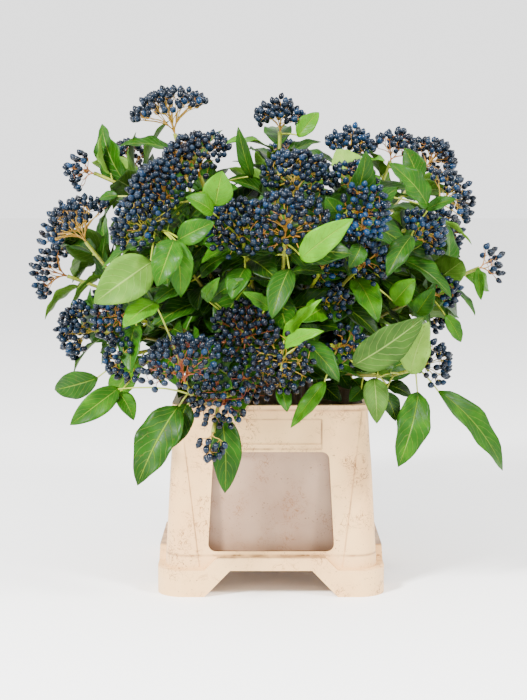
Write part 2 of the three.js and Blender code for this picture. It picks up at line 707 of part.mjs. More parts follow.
// Draws together the ends of edges shorter than least, and gives nothing where that leaves no clean surface.
function drawTogether(piece, least) {
  const { vertProperties, triVerts } = piece.getMesh();
  const corners = [];
  for (let i = 0; i < vertProperties.length; i += 3) corners.push(vec(...vertProperties.slice(i, i + 3)));
  const joined = corners.map((_, i) => i);
  const end = (i) => (joined[i] === i ? i : end(joined[i]));
  for (let i = 0; i < triVerts.length; i++) {
    const [a, b] = [triVerts[i], triVerts[i % 3 === 2 ? i - 2 : i + 1]];
    if (corners[a].distanceTo(corners[b]) < least) joined[end(a)] = end(b);
  }
  const faces = new Map();
  for (let i = 0; i < triVerts.length; i += 3) {
    const face = [...triVerts.slice(i, i + 3)].map(end);
    if (new Set(face).size < 3) continue;
    const key = [...face].sort((a, b) => a - b).join();
    if (!faces.delete(key)) faces.set(key, face);
  }
  const edges = new Map();
  for (const face of faces.values())
    for (let i = 0; i < 3; i++) {
      const key = [face[i], face[(i + 1) % 3]].sort((a, b) => a - b).join();
      edges.set(key, (edges.get(key) ?? 0) + 1);
    }
  if ([...edges.values()].some((count) => count !== 2)) return null;
  const used = [...new Set([...faces.values()].flat())];
  const tight = used.some((i, n) => used.slice(n + 1).some((j) => corners[i].distanceTo(corners[j]) < 0.005));
  return tight ? null : faceted(corners, [...faces.values()]);
}

// What is left of a leaf on its branch once everything near it has taken its room.
function trimmed(leaf, whole, others) {
  let made = whole;
  for (const other of others) if (boxesMeet(made, other)) made = made.subtract(other);
  if (made.isEmpty()) return null;
  const rooted = made.decompose().filter((body) => !body.intersect(wood[leaf.branch.k]).isEmpty());
  return rooted.length ? rooted.reduce((a, b) => (a.volume() > b.volume() ? a : b)) : null;
}

// A shown leaf gives way where it crosses a neighbour. A paired leaf is left out unless it is clear.
// A leaf whose edges would graze its branch's is moved a hair's breadth.
const leafy = [...wood];
const blades = [];
for (const leaf of [...shownLeaves(), ...pairedLeaves()]) {
  const { k } = leaf.branch;
  const others = [
    ...woodClear.filter((_, i) => i !== k),
    ...headClear,
    ...blades.filter((blade) => blade.k !== k).map((blade) => blade.clear),
    bucketSolid,
  ];
  for (const hair of [0, 0.25, -0.25, 0.5, -0.5]) {
    const moved = { ...leaf, foot: leaf.foot.clone().addScaledVector(leaf.up, hair) };
    const whole = leafSolid(moved);
    const body = trimmed(leaf, whole, others);
    const share = body ? body.volume() / whole.volume() : 0;
    if (share < (leaf.shown ? 0.45 : 0.999)) break;
    const crossing =
      whole.intersect(wood[k]).volume() > ROOTED ||
      blades.some((blade) => blade.k === k && boxesMeet(blade.clear, whole) && !blade.clear.intersect(whole).isEmpty());
    if (crossing && !leaf.shown) break;
    const grown = largest(leafy[k].add(body).simplify(FINEST));
    const drawn = drawTogether(grown, 0.05);
    if (!drawn || drawn.decompose().length !== 1) continue;
    leafy[k] = drawn;
    blades.push({ k, leaf, clear: leafSolid(moved, GAP) });
    break;
  }
}

// The water fills the tub to WATER_TOP, with a plain hole for each stem.
function water() {
  const body = loft([
    roundSquare(tubAt(TUB.floor + GAP) - GAP, TUB.corner, TUB.floor + GAP),
    roundSquare(tubAt(WATER_TOP) - GAP, TUB.corner, WATER_TOP),
  ]);
  const holes = branches.map(({ foot, fork }) => {
    const belly = foot.clone().lerp(fork, 0.5);
    const below = foot.clone().addScaledVector(belly.clone().sub(foot).normalize(), -3);
    return rod([below, belly], STEM.foot + GAP, 5);
  });
  return body.subtract(join(holes));
}

const finish = {
  bucket: new THREE.MeshStandardMaterial({ color: 0xe9d2bb, roughness: 0.5, metalness: 0 }),
  water: new THREE.MeshStandardMaterial({ color: 0xbfd4d6, roughness: 0.1, metalness: 0 }),
  leaves: new THREE.MeshStandardMaterial({ color: 0x4d8a2c, roughness: 0.45, metalness: 0 }),
  berries: new THREE.MeshStandardMaterial({ color: 0x263247, roughness: 0.3, metalness: 0 }),
};

const part = new THREE.Group();

// A node's final solid, without slivers where its pieces were joined.
function smooth(piece) {
  for (const least of [0.05, 0.08, 0.03, 0.12, 0.02, 0.16, 0.2]) {
    const drawn = drawTogether(piece, least);
    if (drawn && drawn.decompose().length === 1) return drawn;
  }
  throw new Error("a node keeps slivers");
}

function addNode(piece, name, material) {
  const { vertProperties, triVerts } = smooth(largest(piece.simplify(FINEST))).getMesh();
  const geometry = new THREE.BufferGeometry();
  geometry.setAttribute("position", new THREE.BufferAttribute(vertProperties, 3));
  geometry.setIndex(new THREE.BufferAttribute(triVerts, 1));
  const mesh = new THREE.Mesh(geometry, material);
  mesh.name = name;
  part.add(mesh);
}

const number = (i) => String(i + 1).padStart(2, "0");
addNode(bucketSolid, "bucket", finish.bucket);
addNode(water(), "water", finish.water);
leafy.forEach((piece, k) => addNode(piece, `branch_${number(k)}`, finish.leaves));
headSolids.forEach((piece, i) => addNode(piece, `berry_head_${number(i)}`, finish.berries));

export default part;
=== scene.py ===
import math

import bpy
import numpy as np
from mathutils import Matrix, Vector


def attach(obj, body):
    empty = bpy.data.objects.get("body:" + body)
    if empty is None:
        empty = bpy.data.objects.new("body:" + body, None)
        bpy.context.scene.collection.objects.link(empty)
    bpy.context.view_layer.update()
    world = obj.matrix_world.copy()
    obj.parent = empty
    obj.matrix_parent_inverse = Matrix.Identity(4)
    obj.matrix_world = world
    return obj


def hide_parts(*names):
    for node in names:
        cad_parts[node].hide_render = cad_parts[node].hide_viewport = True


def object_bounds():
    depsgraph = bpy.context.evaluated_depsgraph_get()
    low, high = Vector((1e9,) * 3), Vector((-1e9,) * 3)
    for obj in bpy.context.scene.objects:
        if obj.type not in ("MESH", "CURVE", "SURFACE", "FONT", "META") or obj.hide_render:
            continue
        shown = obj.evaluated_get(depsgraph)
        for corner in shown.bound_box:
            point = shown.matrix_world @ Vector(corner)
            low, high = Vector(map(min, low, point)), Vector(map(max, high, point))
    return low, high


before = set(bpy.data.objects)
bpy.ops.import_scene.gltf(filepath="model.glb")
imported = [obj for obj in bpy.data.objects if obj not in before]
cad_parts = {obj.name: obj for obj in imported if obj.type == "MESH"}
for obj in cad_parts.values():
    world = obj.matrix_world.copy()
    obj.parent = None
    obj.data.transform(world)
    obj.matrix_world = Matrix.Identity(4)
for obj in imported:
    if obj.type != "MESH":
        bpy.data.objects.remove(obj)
cad_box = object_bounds()

# %% [markdown]
# # A bunch of viburnum in a flower bucket
# The object is a stock bunch of evergreen viburnum: woody shoots that end in flat-topped heads of
# blue-black berries, with leathery leaves in opposite pairs, standing in water in a cream plastic bucket.
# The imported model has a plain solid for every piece. This script lays the bunch out again from the same
# few named values, and puts finer berries, stalks, shoots and leaves where the plain ones are.

MM = 0.001


def linear(hex_colour):
    """An sRGB colour such as "#6fae35" as linear red, green, blue and alpha."""
    parts = [int(hex_colour[i : i + 2], 16) / 255 for i in (1, 3, 5)]
    return [c / 12.92 if c <= 0.04045 else ((c + 0.055) / 1.055) ** 2.4 for c in parts] + [1.0]


def unit(v):
    return np.asarray(v, float) / np.linalg.norm(v)


def chance(a, b):
    """Repeatable chance from 0 to 1 for the pair of numbers a, b."""
    s = math.sin(a * 12.9898 + b * 78.233) * 43758.5453
    return s - math.floor(s)


def across(direction):
    """Two directions at right angles to a direction and to each other."""
    side = (0, 0, 1) if abs(direction[2]) < 0.9 else (0, 1, 0)
    first = unit(np.cross(side, direction))
    return first, np.cross(direction, first)


def around(direction, angle):
    """A direction at right angles to another, turned about it by an angle."""
    u, v = across(direction)
    return u * math.cos(angle) + v * math.sin(angle)


def curve(a, middle, b, count):
    """Points on a bend from a to b that is drawn towards a middle point."""
    return [a * (1 - t) ** 2 + middle * 2 * t * (1 - t) + b * t * t for t in np.linspace(0, 1, count)]


print("packed model:", len(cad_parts), "nodes")

# %% [markdown]
# ## The camera
# The photograph is a plain studio front view, taken with a long lens from a little above the rim.
# Where a piece stands is given by its pixel in that view and its depth, so the camera comes first,
# with the same numbers as the part: an eye 1.7 m in front, turned 6 degrees down.

# %% Camera
EYE = {"x": -8, "back": 1700, "up": 426, "tilt": 6, "pixels": 1545, "middle": (263.5, 350)}
FRAME_HIGH = 700
SENSOR = 36

camera_data = bpy.data.cameras.new("camera")
camera_data.sensor_fit = "AUTO"
camera_data.sensor_width = SENSOR
camera_data.lens = SENSOR * EYE["pixels"] / FRAME_HIGH
camera = bpy.data.objects.new("camera", camera_data)
camera.location = Vector((EYE["x"], -EYE["back"], EYE["up"])) * MM
camera.rotation_euler = (math.radians(90 - EYE["tilt"]), 0, 0)
bpy.context.scene.collection.objects.link(camera)
bpy.context.scene.camera = camera


def place(at, depth):
    """The point in millimetres that the front view shows at a pixel, at a depth from the middle."""
    away = EYE["back"] + depth
    slope = (EYE["middle"][1] - at[1]) / EYE["pixels"]
    tilt = math.tan(math.radians(EYE["tilt"]))
    reach = math.cos(math.radians(EYE["tilt"])) * (1 + slope * tilt)
    x = EYE["x"] + (at[0] - EYE["middle"][0]) * away / (EYE["pixels"] * reach)
    return np.array([x, depth, EYE["up"] + away * (slope - tilt) / (1 + slope * tilt)])


print("camera lens %.1f mm" % camera_data.lens)

# %% [markdown]
# ## Where the heads are
# Each head is a shallow dome of berries that faces away from the heart of the bunch. Its stalks meet in
# one joint at the end of a shoot. The table is the part's own: pixel, depth, radius, and how far the head
# turns up. The hidden side gets rings of heads by rule.

# %% The heads of the bunch
BERRY_TIP = 12.8
TUFT_STEP = 34
KNOB = 2.6
GAP = 0.35
BEND = 0.36
STEM = {"spread": 58, "fork": 236, "fork_out": 40}
BRANCHES = 12
CROWN = {"x": 236, "y": 245, "z": 150, "middle": 385}
HEART = (0, 0, 260)
TUB_FLOOR = 34

# pixel across and down, depth, radius, rise, and 1 for a loose head whose stalks show
HEADS = [
    (166, 101, -20, 47, 0.6, 1),
    (72, 169, -20, 25, -0.5, 1),
    (188, 149, -110, 43, 0, 0),
    (154, 180, -140, 43, 0, 0),
    (135, 212, -165, 40, 0, 0),
    (68, 214, -60, 45, 0.8, 1),
    (237, 221, -180, 38, 0, 0),
    (281, 106, -30, 31, 0.3, 0),
    (300, 168, -150, 41, 0, 0),
    (287, 214, -200, 47, 0.4, 0),
    (353, 135, -50, 30, 0.8, 0),
    (399, 138, -30, 29, 0.6, 0),
    (360, 172, -125, 29, 0, 0),
    (370, 214, -180, 34, -0.6, 0),
    (459, 190, -30, 38, -0.1, 1),
    (434, 226, -100, 31, 0, 0),
    (41, 268, -20, 36, 0, 1),
    (67, 330, -60, 36, 0, 0),
    (103, 314, -140, 30, 0, 0),
    (115, 362, -140, 29, -0.2, 0),
    (177, 354, -215, 45, 1.6, 0),
    (216, 396, -215, 35, 0.3, 0),
    (243, 328, -185, 37, 0.3, 0),
    (251, 384, -190, 27, 0, 0),
    (284, 364, -215, 35, 0, 0),
    (328, 262, -150, 25, 0, 0),
    (374, 256, -150, 28, 0, 0),
    (500, 261, -10, 25, 0, 1),
    (440, 358, -130, 30, 0.5, 1),
    (352, 346, -165, 25, 0, 0),
    (211, 453, -215, 19, -2, 1),
    (452, 290, -60, 22, 0, 0),
    (340, 298, -150, 22, 0, 0),
]
# rings of heads on the hidden side: height, how many, radius, turn in degrees
BACK_RINGS = [(292, 5, 32, 0), (382, 5, 34, 9), (468, 3, 34, -6)]


class Head:
    """One head: the middle of its dome, the way it faces, and the joint that its stalks leave."""

    def __init__(self, index, middle, radius, rise, loose):
        facing = unit(middle - np.array(HEART))
        facing[2] += rise
        self.index, self.middle, self.radius = index, middle, radius
        self.facing = unit(facing)
        self.deep = 0.55 * radius + 10
        self.joint = middle - self.facing * self.deep
        self.out = radius - BERRY_TIP
        self.count = 0 if self.out < 5 else max(2, math.floor(2 * math.pi * self.out / TUFT_STEP))
        self.loose = bool(loose) or self.count <= 2
        self.number = "%02d" % (index + 1)
        self.node = "berry_head_" + self.number

    def on_dome(self, angle, out, height):
        return self.middle + around(self.facing, angle) * out + self.facing * height

    def tuft_spots(self):
        turn = [
            2 * math.pi * (i + 0.35 * chance(self.index, i)) / self.count + 6 * chance(self.index, 40)
            for i in range(self.count)
        ]
        ring = [self.on_dome(a, self.out, -4 - 5 * chance(self.index, i + 10)) for i, a in enumerate(turn)]
        on_top = self.out < 5 or self.out >= 17
        return ring + ([self.middle + self.facing * 0.26 * self.out] if on_top else [])

    def lean(self, spot):
        axis = unit(spot - self.joint)
        return unit(axis + (self.facing - axis) * 0.45)


domes = [(place(row[:2], row[2]), *row[3:]) for row in HEADS]
for height, how_many, radius, turn in BACK_RINGS:
    for i in range(how_many):
        angle = math.radians(turn + 180 * (i + 0.5) / how_many)
        level = math.sqrt(1 - ((height - CROWN["middle"]) / CROWN["z"] / 1.3) ** 2)
        at = np.array([CROWN["x"] * level * math.cos(angle), CROWN["y"] * level * math.sin(angle), height])
        domes.append((at, radius, 0, 0))
heads = [Head(i, *dome) for i, dome in enumerate(domes)]
print(len(heads), "heads")

# %% [markdown]
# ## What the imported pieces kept
# The part leaves out a tuft or a leaf that would run into its neighbours. A piece that was kept has a
# corner of its solid at a known place, so looking for that corner tells which ones to dress.

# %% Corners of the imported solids
# how far the point of a packed tuft stands above the tuft's middle
TUFT_POINT = 9.5


corners = {
    name: np.array([v.co[:] for v in node.data.vertices]) / MM for name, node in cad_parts.items()
}


def has_corner(node, point, within=0.8):
    return np.linalg.norm(corners[node] - point, axis=1).min() < within


for head in heads:
    head.tufts = [s for s in head.tuft_spots() if has_corner(head.node, s + head.lean(s) * TUFT_POINT)]
all_tufts = np.array([spot for head in heads for spot in head.tufts])
print(len(all_tufts), "tufts of berries in the solids")

# %% [markdown]
# ## Branches
# Heads are shared out round the bucket among a dozen cut stems. A stem leans on the tub's wall and forks
# above the rim, and each shoot curves out and ends under its head.

# %% The stems and shoots
def turn_of(point):
    angle = math.atan2(point[1], point[0])
    return angle + 2 * math.pi if angle < -math.pi / 2 else angle


class Branch:
    """One cut stem, from its foot on the tub's floor to the fork, with the heads that it carries."""

    def __init__(self, k, carried):
        self.k, self.carried, self.node = k, carried, "branch_%02d" % (k + 1)
        flat = [unit([h.joint[0], h.joint[1], 0]) for h in carried]
        out = unit(np.sum(flat, axis=0))
        self.foot = out * STEM["spread"] + np.array([0, 0, TUB_FLOOR + GAP])
        self.fork = out * STEM["fork_out"] + np.array([0, 0, STEM["fork"]])
        for head in carried:
            end = head.joint - head.facing * (KNOB + GAP)
            bend = end - head.facing * BEND * np.linalg.norm(end - self.fork)
            head.branch = self
            head.way = curve(self.fork, bend, end, 5)
            head.steps = np.array([walk(head.way, i / 40) for i in range(41)])


def walk(way, share):
    """The point that a share of the straight lengths of a way leads to."""
    at = min(share * (len(way) - 1), len(way) - 1.001)
    n = int(at)
    return way[n] + (way[n + 1] - way[n]) * (at - n)


ordered = sorted(heads, key=lambda h: turn_of(h.joint))
bounds_of = [math.floor(k * len(ordered) / BRANCHES + 0.5) for k in range(BRANCHES + 1)]
branches = [Branch(k, ordered[bounds_of[k] : bounds_of[k + 1]]) for k in range(BRANCHES)]
print([len(b.carried) for b in branches], "heads on each branch")

# %% [markdown]
# ## Where the leaves are
# A leaf that shows in the front view is placed by the foot and the tip of its blade. It is moved towards
# the eye until it is clear of the berries, and its stalk runs to the nearest shoot that it can reach.
# Other leaves stand in opposite pairs under the heads.

# %% The leaves of the bunch
# the room that a blade leaves round a tuft's middle, and a leaf's stalk round rays and shoots
ROOM = 14
STALK_ROOM = 4
PETIOLE = 7
# foot of the blade, tip, width in mm, depths of foot and tip, and 1 where the pale underside shows;
# the last number is how light the leaf is
LEAVES = [
    ((152, 262), (94, 303), 44, (-205, -225), 1, 0.5),
    ((174, 240), (157, 286), 29, (-210, -232), 0, 0.5),
    ((177, 240), (181, 297), 26, (-208, -214), 0, 0.5),
    ((157, 303), (123, 328), 27, (-200, -226), 0, 0.75),
    ((215, 206), (222, 171), 30, (-165, -170), 0, 0.75),
    ((213, 213), (186, 197), 24, (-180, -196), 0, 0.65),
    ((178, 240), (214, 222), 24, (-205, -212), 0, 0.5),
    ((252, 178), (238, 127), 15, (-100, -110), 0, 0.3),
    ((118, 196), (99, 199), 12, (-100, -90), 0, 0.4),
    ((98, 378), (54, 390), 29, (-120, -100), 0, 0.35),
    ((119, 388), (70, 425), 26, (-150, -165), 0, 0.55),
    ((179, 406), (137, 485), 42, (-195, -225), 0, 0.3),
    ((187, 404), (172, 448), 28, (-180, -196), 0, 0.3),
    ((221, 414), (225, 493), 32, (-188, -200), 0, 0.35),
    ((118, 392), (134, 420), 20, (-145, -160), 0, 0.5),
    ((280, 388), (287, 412), 16, (-190, -205), 0, 0.5),
    ((325, 382), (291, 427), 17, (-165, -190), 0, 0.6),
    ((374, 378), (377, 423), 26, (-140, -165), 1, 0.25),
    ((418, 392), (398, 467), 36, (-120, -150), 0, 0.5),
    ((438, 391), (505, 470), 31, (-110, -90), 0, 0.5),
    ((384, 392), (396, 421), 20, (-125, -135), 0, 0.2),
    ((301, 259), (353, 219), 27, (-195, -228), 0, 0.95),
    ((290, 269), (272, 319), 26, (-195, -218), 0, 0.3),
    ((283, 340), (322, 299), 13, (-180, -195), 0, 0.9),
    ((285, 347), (323, 331), 16, (-190, -225), 0, 0.95),
    ((304, 342), (339, 382), 25, (-175, -195), 0, 0.3),
    ((353, 365), (424, 318), 38, (-165, -180), 1, 0.05),
    ((411, 374), (428, 322), 32, (-142, -156), 1, 0.75),
    ((412, 236), (387, 276), 23, (-150, -170), 0, 0.3),
    ((445, 315), (461, 342), 16, (-70, -60), 0, 0.6),
    ((478, 268), (481, 300), 12, (-20, -25), 0, 0.6),
    ((427, 207), (389, 163), 30, (-120, -150), 0, 0.5),
    ((419, 181), (405, 148), 25, (-80, -85), 0, 0.3),
    ((427, 210), (456, 199), 15, (-100, -110), 0, 0.4),
    ((298, 137), (319, 112), 20, (-50, -45), 0, 0.7),
    ((352, 180), (337, 149), 34, (-95, -90), 1, 0.8),
    ((246, 268), (232, 300), 26, (-170, -190), 0, 0.45),
    ((211, 301), (246, 279), 20, (-165, -185), 0, 0.3),
    ((205, 300), (219, 278), 14, (-170, -200), 0, 0.6),
    ((268, 308), (243, 292), 14, (-180, -215), 0, 0.6),
    ((394, 304), (415, 279), 25, (-120, -130), 0, 0.8),
    ((416, 314), (434, 288), 22, (-100, -115), 0, 0.5),
    ((361, 245), (349, 268), 20, (-165, -180), 0, 0.3),
    ((340, 216), (326, 197), 20, (-165, -175), 0, 0.4),
]
# pairs of leaves below a head: distance below its joint, length, width
PAIRS = [(16, 56, 26), (48, 66, 30), (84, 70, 32)]


class Leaf:
    """How a leaf lies: its root on the wood, its blade's foot and tip, and where its upper face looks."""

    def __init__(self, root, foot, tip, look, wide, index, branch, tone, under=0):
        self.root, self.foot, self.tip, self.wide, self.index = root, foot, tip, wide, index
        self.length = np.linalg.norm(tip - foot)
        self.along = unit(tip - foot)
        turn = math.radians(50 * (chance(index, 3) - 0.5))
        flat = unit(look - self.along * np.dot(look, self.along))
        self.up = np.array(Matrix.Rotation(turn, 3, Vector(self.along)) @ Vector(flat))
        self.side = np.cross(self.along, self.up)
        self.branch, self.tone, self.under = branch, tone, under

    def room(self):
        """How near the middle of a tuft comes to the blade."""
        spots = [
            self.foot + self.along * share * self.length + self.side * edge * self.wide
            for share in (0.05, 0.3, 0.5, 0.7, 0.95)
            for edge in (-0.42, 0, 0.42)
        ]
        gaps = np.array(spots)[:, None] - all_tufts[None]
        return np.linalg.norm(gaps, axis=2).min()


ray_points = np.array(
    [h.joint + (spot - h.joint) * s for h in heads for spot in h.tufts for s in (0.15, 0.35, 0.55, 0.75)]
)


def stalk_is_clear(start, end, branch):
    for share in (0.2, 0.4, 0.6, 0.8, 1):
        at = start + (end - start) * share
        if np.linalg.norm(all_tufts - at, axis=1).min() <= ROOM:
            return False
        if np.linalg.norm(ray_points - at, axis=1).min() <= STALK_ROOM:
            return False
        others = [h.steps for h in heads if h.branch is not branch]
        if np.linalg.norm(np.concatenate(others) - at, axis=1).min() <= STALK_ROOM:
            return False
    return True


wood_steps = np.concatenate([h.steps[4:] for h in heads])
wood_branch = [h.branch for h in heads for _ in h.steps[4:]]


def nearest_wood(point):
    order = np.argsort(np.linalg.norm(wood_steps - point, axis=1), kind="stable")
    for n in order[:150]:
        if stalk_is_clear(wood_steps[n], point, wood_branch[n]):
            return wood_steps[n], wood_branch[n]
    return wood_steps[order[0]], wood_branch[order[0]]


leaves = []
for index, (foot, tip, wide, depth, under, tone) in enumerate(LEAVES):
    best = None
    for step in range(7):
        a, b = (place(at, d - 6 * step) for at, d in zip((foot, tip), depth))
        root, branch = nearest_wood(a)
        leaf = Leaf(root, a, b, np.array([0, -1, 0.35]), wide, index, branch, tone, under)
        if best is None or leaf.room() > best.room():
            best = leaf
        if leaf.room() > ROOM:
            break
    leaves.append(best)
shown = [leaf for leaf in leaves if has_corner(leaf.branch.node, leaf.tip)]
print(len(leaves), "leaves show in the front view,", len(shown), "of them in the solids")

# %% [markdown]
# ## Leaves that stand in pairs
# Viburnum leaves grow in opposite pairs, and each pair is turned a quarter from the one above it. The part
# grows such pairs by rule below every big head, and keeps the ones that have free space.

# %% Paired leaves
def in_solids(leaf):
    """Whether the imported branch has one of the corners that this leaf's solid would have."""
    spots = [leaf.tip]
    for share, half, rise in ((0.3, 0.48, 0.1), (0.68, 0.4, 0.085)):
        spine = leaf.foot + leaf.along * share * leaf.length + leaf.up * rise * leaf.length
        edge = leaf.side * half * leaf.wide
        lift = leaf.up * 0.24 * half * leaf.wide
        spots += [spine - edge + lift, spine + edge + lift]
    return any(has_corner(leaf.branch.node, spot, 0.9) for spot in spots)


paired = []
for head in heads:
    pairs = 2 + head.index % 2 if head.index >= len(HEADS) else 1 if head.radius > 21 else 0
    for p, (below, length, wide) in enumerate(PAIRS[:pairs]):
        start = head.steps[max(4, 40 - math.floor(below / 4 + 0.5))]
        for sign in (-1, 1):
            index = 100 + head.index * 8 + p * 2 + (sign + 1) // 2
            angle = math.pi * (p / 2 + chance(head.index, 77))
            way = around(head.facing, angle) * sign + head.facing * (0.35 + 0.5 * chance(index, 5))
            way[2] -= 0.25 * chance(index, 6)
            way = unit(way)
            size = 0.8 + 0.4 * chance(index, 7)
            foot = start + way * PETIOLE
            look = head.facing + np.array([0, 0, 0.3])
            tone = 0.25 + 0.5 * chance(index, 8)
            tip = foot + way * length * size
            paired.append(Leaf(start, foot, tip, look, wide * size, index, head.branch, tone))
leaves += [leaf for leaf in paired if in_solids(leaf)]
print(len(leaves), "leaves in all, of", len(paired), "in pairs")

# %% [markdown]
# ## Berries on a head
# A head carries some sixty berries in small clusters, all at about one level, like a loose umbrella. The
# solids stand for seven berries at a time. Here the same seven come back as single berries, and a spiral
# of more fills the dome between them, each only where it has room.

# %% Where every berry sits
# space is from berry to berry, clear is from a berry to a blade or to the box's side, and a tuft's berries
# that reach the side are moved in_box from it
BERRY = {"wide": 6.6, "long": 7.5, "point": 1.1, "space": 6.7, "clear": 4.6, "in_box": 4.8}
TUFT = {"out": 9.3, "up": 0.6, "top": 5.6}
# the turn from one berry of a spiral to the next, which never lines them up
GOLDEN_TURN = 2.39996
CELL = 12


def dome_height(head, out):
    """How high the berries stand on a head at a distance from its middle."""
    reach = max(head.out, 0.6 * head.radius)
    return 0.26 * reach + 4 - (0.26 * reach + 6) * (out / reach) ** 2


def tuft_berries(head, spot):
    lean = head.lean(spot)
    ring = [
        spot + around(lean, math.radians(60 * i)) * TUFT["out"] + lean * TUFT["up"] for i in range(6)
    ]
    return ring + [spot + lean * TUFT["top"]]


def spiral_berries(head, pitch, sink, seed):
    """A spiral of places over a head's dome, sunk below it, each a little off its place."""
    rng = np.random.default_rng(seed)
    reach = head.radius - 0.5 * BERRY["wide"] - 0.4 * sink
    count = int(reach**2 / (pitch**2 * 0.29))
    for n in range(count):
        out = reach * math.sqrt((n + 0.5) / count)
        off = rng.uniform(-1, 1, 2)
        height = dome_height(head, out) - sink + off[1] * 2
        yield head.on_dome(n * GOLDEN_TURN + off[0] * 0.12, out, height)


class Crowd:
    """Places taken so far, sorted into cells, which answers whether a new one has room."""

    def __init__(self):
        self.cells = {}

    def add(self, point, space):
        x, y, z = (float(c) for c in point)
        self.cells.setdefault((x // CELL, y // CELL, z // CELL), []).append((x, y, z, space))

    def has_room(self, point, space):
        x, y, z = (float(c) for c in point)
        for i in (-1, 0, 1):
            for j in (-1, 0, 1):
                for k in (-1, 0, 1):
                    cell = (x // CELL + i, y // CELL + j, z // CELL + k)
                    for a, b, c, least in self.cells.get(cell, ()):
                        if (a - x) ** 2 + (b - y) ** 2 + (c - z) ** 2 < min(space, least) ** 2:
                            return False
        return True


BOX = [np.array(c) / MM for c in cad_box]


def inside(point, room):
    """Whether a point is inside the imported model's box with some room to spare."""
    return bool(np.all(point > BOX[0] + room) and np.all(point < BOX[1] - room))


taken = Crowd()
for head in heads:
    head.berries = [b for spot in head.tufts for b in tuft_berries(head, spot)]
    head.berries = list(np.clip(head.berries, BOX[0] + BERRY["in_box"], BOX[1] - BERRY["in_box"]))
    for berry in head.berries:
        taken.add(berry, BERRY["space"])


def blade_points(leaf, rows=16, columns=4):
    """Points over a leaf's blade, which berries keep clear of."""
    for i in range(rows + 1):
        share = i / rows
        half = 0.5 * leaf.wide * math.sin(math.pi * share**0.8) ** 0.75 if 0 < share < 1 else 0.5
        for j in range(-columns, columns + 1):
            yield leaf.foot + leaf.along * share * leaf.length + leaf.side * half * j / columns + leaf.up * (
                0.1 * leaf.length * math.sin(math.pi * share)
            )


for leaf in leaves:
    for point in blade_points(leaf):
        taken.add(point, BERRY["clear"])
# heads whose rays show between their berries
OPEN = {4, 9, 18, 20, 21, 24, 26}
# spirals over a head: spacing of the berries, and how far below the dome they hang
LAYERS = {
    "loose": [(7.4, 0), (8.5, 5)],
    "open": [(7.2, 0), (7.4, 1), (8.4, 7)],
    "dense": [(6.2, 0), (6.4, 1), (6.6, 6.5), (7.5, 12)],
}
for head in heads:
    layers = LAYERS["loose" if head.loose else "open" if head.index in OPEN else "dense"]
    for n, (pitch, sink) in enumerate(layers):
        for berry in spiral_berries(head, pitch, sink, 10 * head.index + n):
            low = sink + 4 > head.deep
            fits = inside(berry, BERRY["clear"]) and taken.has_room(berry, BERRY["space"])
            if fits and not low:
                head.berries.append(berry)
                taken.add(berry, BERRY["space"])
print(sum(len(h.berries) for h in heads), "berries, at least", min(len(h.berries) for h in heads), "on a head")

# %% [markdown]
# ## Leaves deep in the bush
# Between the heads the real bunch is packed with leaves in shade, and hardly a gap shows through. They stand
# in pairs down every shoot, darker in tone than the leaves in front as painted shade. Each is kept where its
# blade has room among the berries and the other leaves.

# %% Inner leaves
DEEP = {"first": 20, "bare": 55, "apart": 15, "pairs": 14, "length": 54, "width": 28}
# leaves that hang low over the rim and hide the tub: foot and tip in the front view, width, depths
OVER_RIM = [
    ((352, 379), (367, 401), 23, (-60, -88)),
    ((371, 375), (384, 401), 25, (-50, -80)),
    ((392, 374), (401, 401), 25, (-36, -70)),
    ((408, 379), (416, 400), 18, (-20, -50)),
    ((386, 385), (412, 397), 19, (-72, -78)),
    ((322, 384), (341, 401), 21, (-66, -88)),
    ((268, 386), (254, 402), 20, (-80, -92)),
    ((362, 389), (349, 402), 17, (-80, -94)),
    ((333, 364), (350, 389), 24, (-40, -60)),
    ((196, 379), (178, 398), 22, (-50, -80)),
    ((214, 383), (194, 401), 20, (-80, -95)),
]
# the least room from an inner leaf to the leaves in front, to berries, and to other leaves
CLEAR = {"front": 6, "berries": 4.4, "leaves": 4}
# the lowest that the inner leaves, the fork's leaves and the ones over the rim may hang
LOWEST = {"inner": 206, "fork": 203.5, "rim": 201.5}
foliage, in_front = Crowd(), Crowd()
for leaf in leaves:
    for point in blade_points(leaf, 8, 2):
        foliage.add(point, CLEAR["leaves"])
for leaf in leaves[: len(LEAVES)]:
    for point in blade_points(leaf, 14, 4):
        in_front.add(point, CLEAR["front"])
kept = 0


def add_inner(leaf, lowest, crossing):
    """Keeps an inner leaf in the box, clear of the leaves in front, where little of it crosses the rest."""
    spots = list(blade_points(leaf, 10, 3))
    if min(spot[2] for spot in spots) < lowest or not all(inside(spot, 3) for spot in spots):
        return 0
    if not all(in_front.has_room(spot, CLEAR["front"]) for spot in spots):
        return 0
    crossed = [
        not taken.has_room(spot, CLEAR["berries"]) or not foliage.has_room(spot, CLEAR["leaves"])
        for spot in spots
    ]
    if sum(crossed) > crossing * len(spots):
        return 0
    for spot in spots:
        foliage.add(spot, CLEAR["leaves"])
    leaves.append(leaf)
    return 1


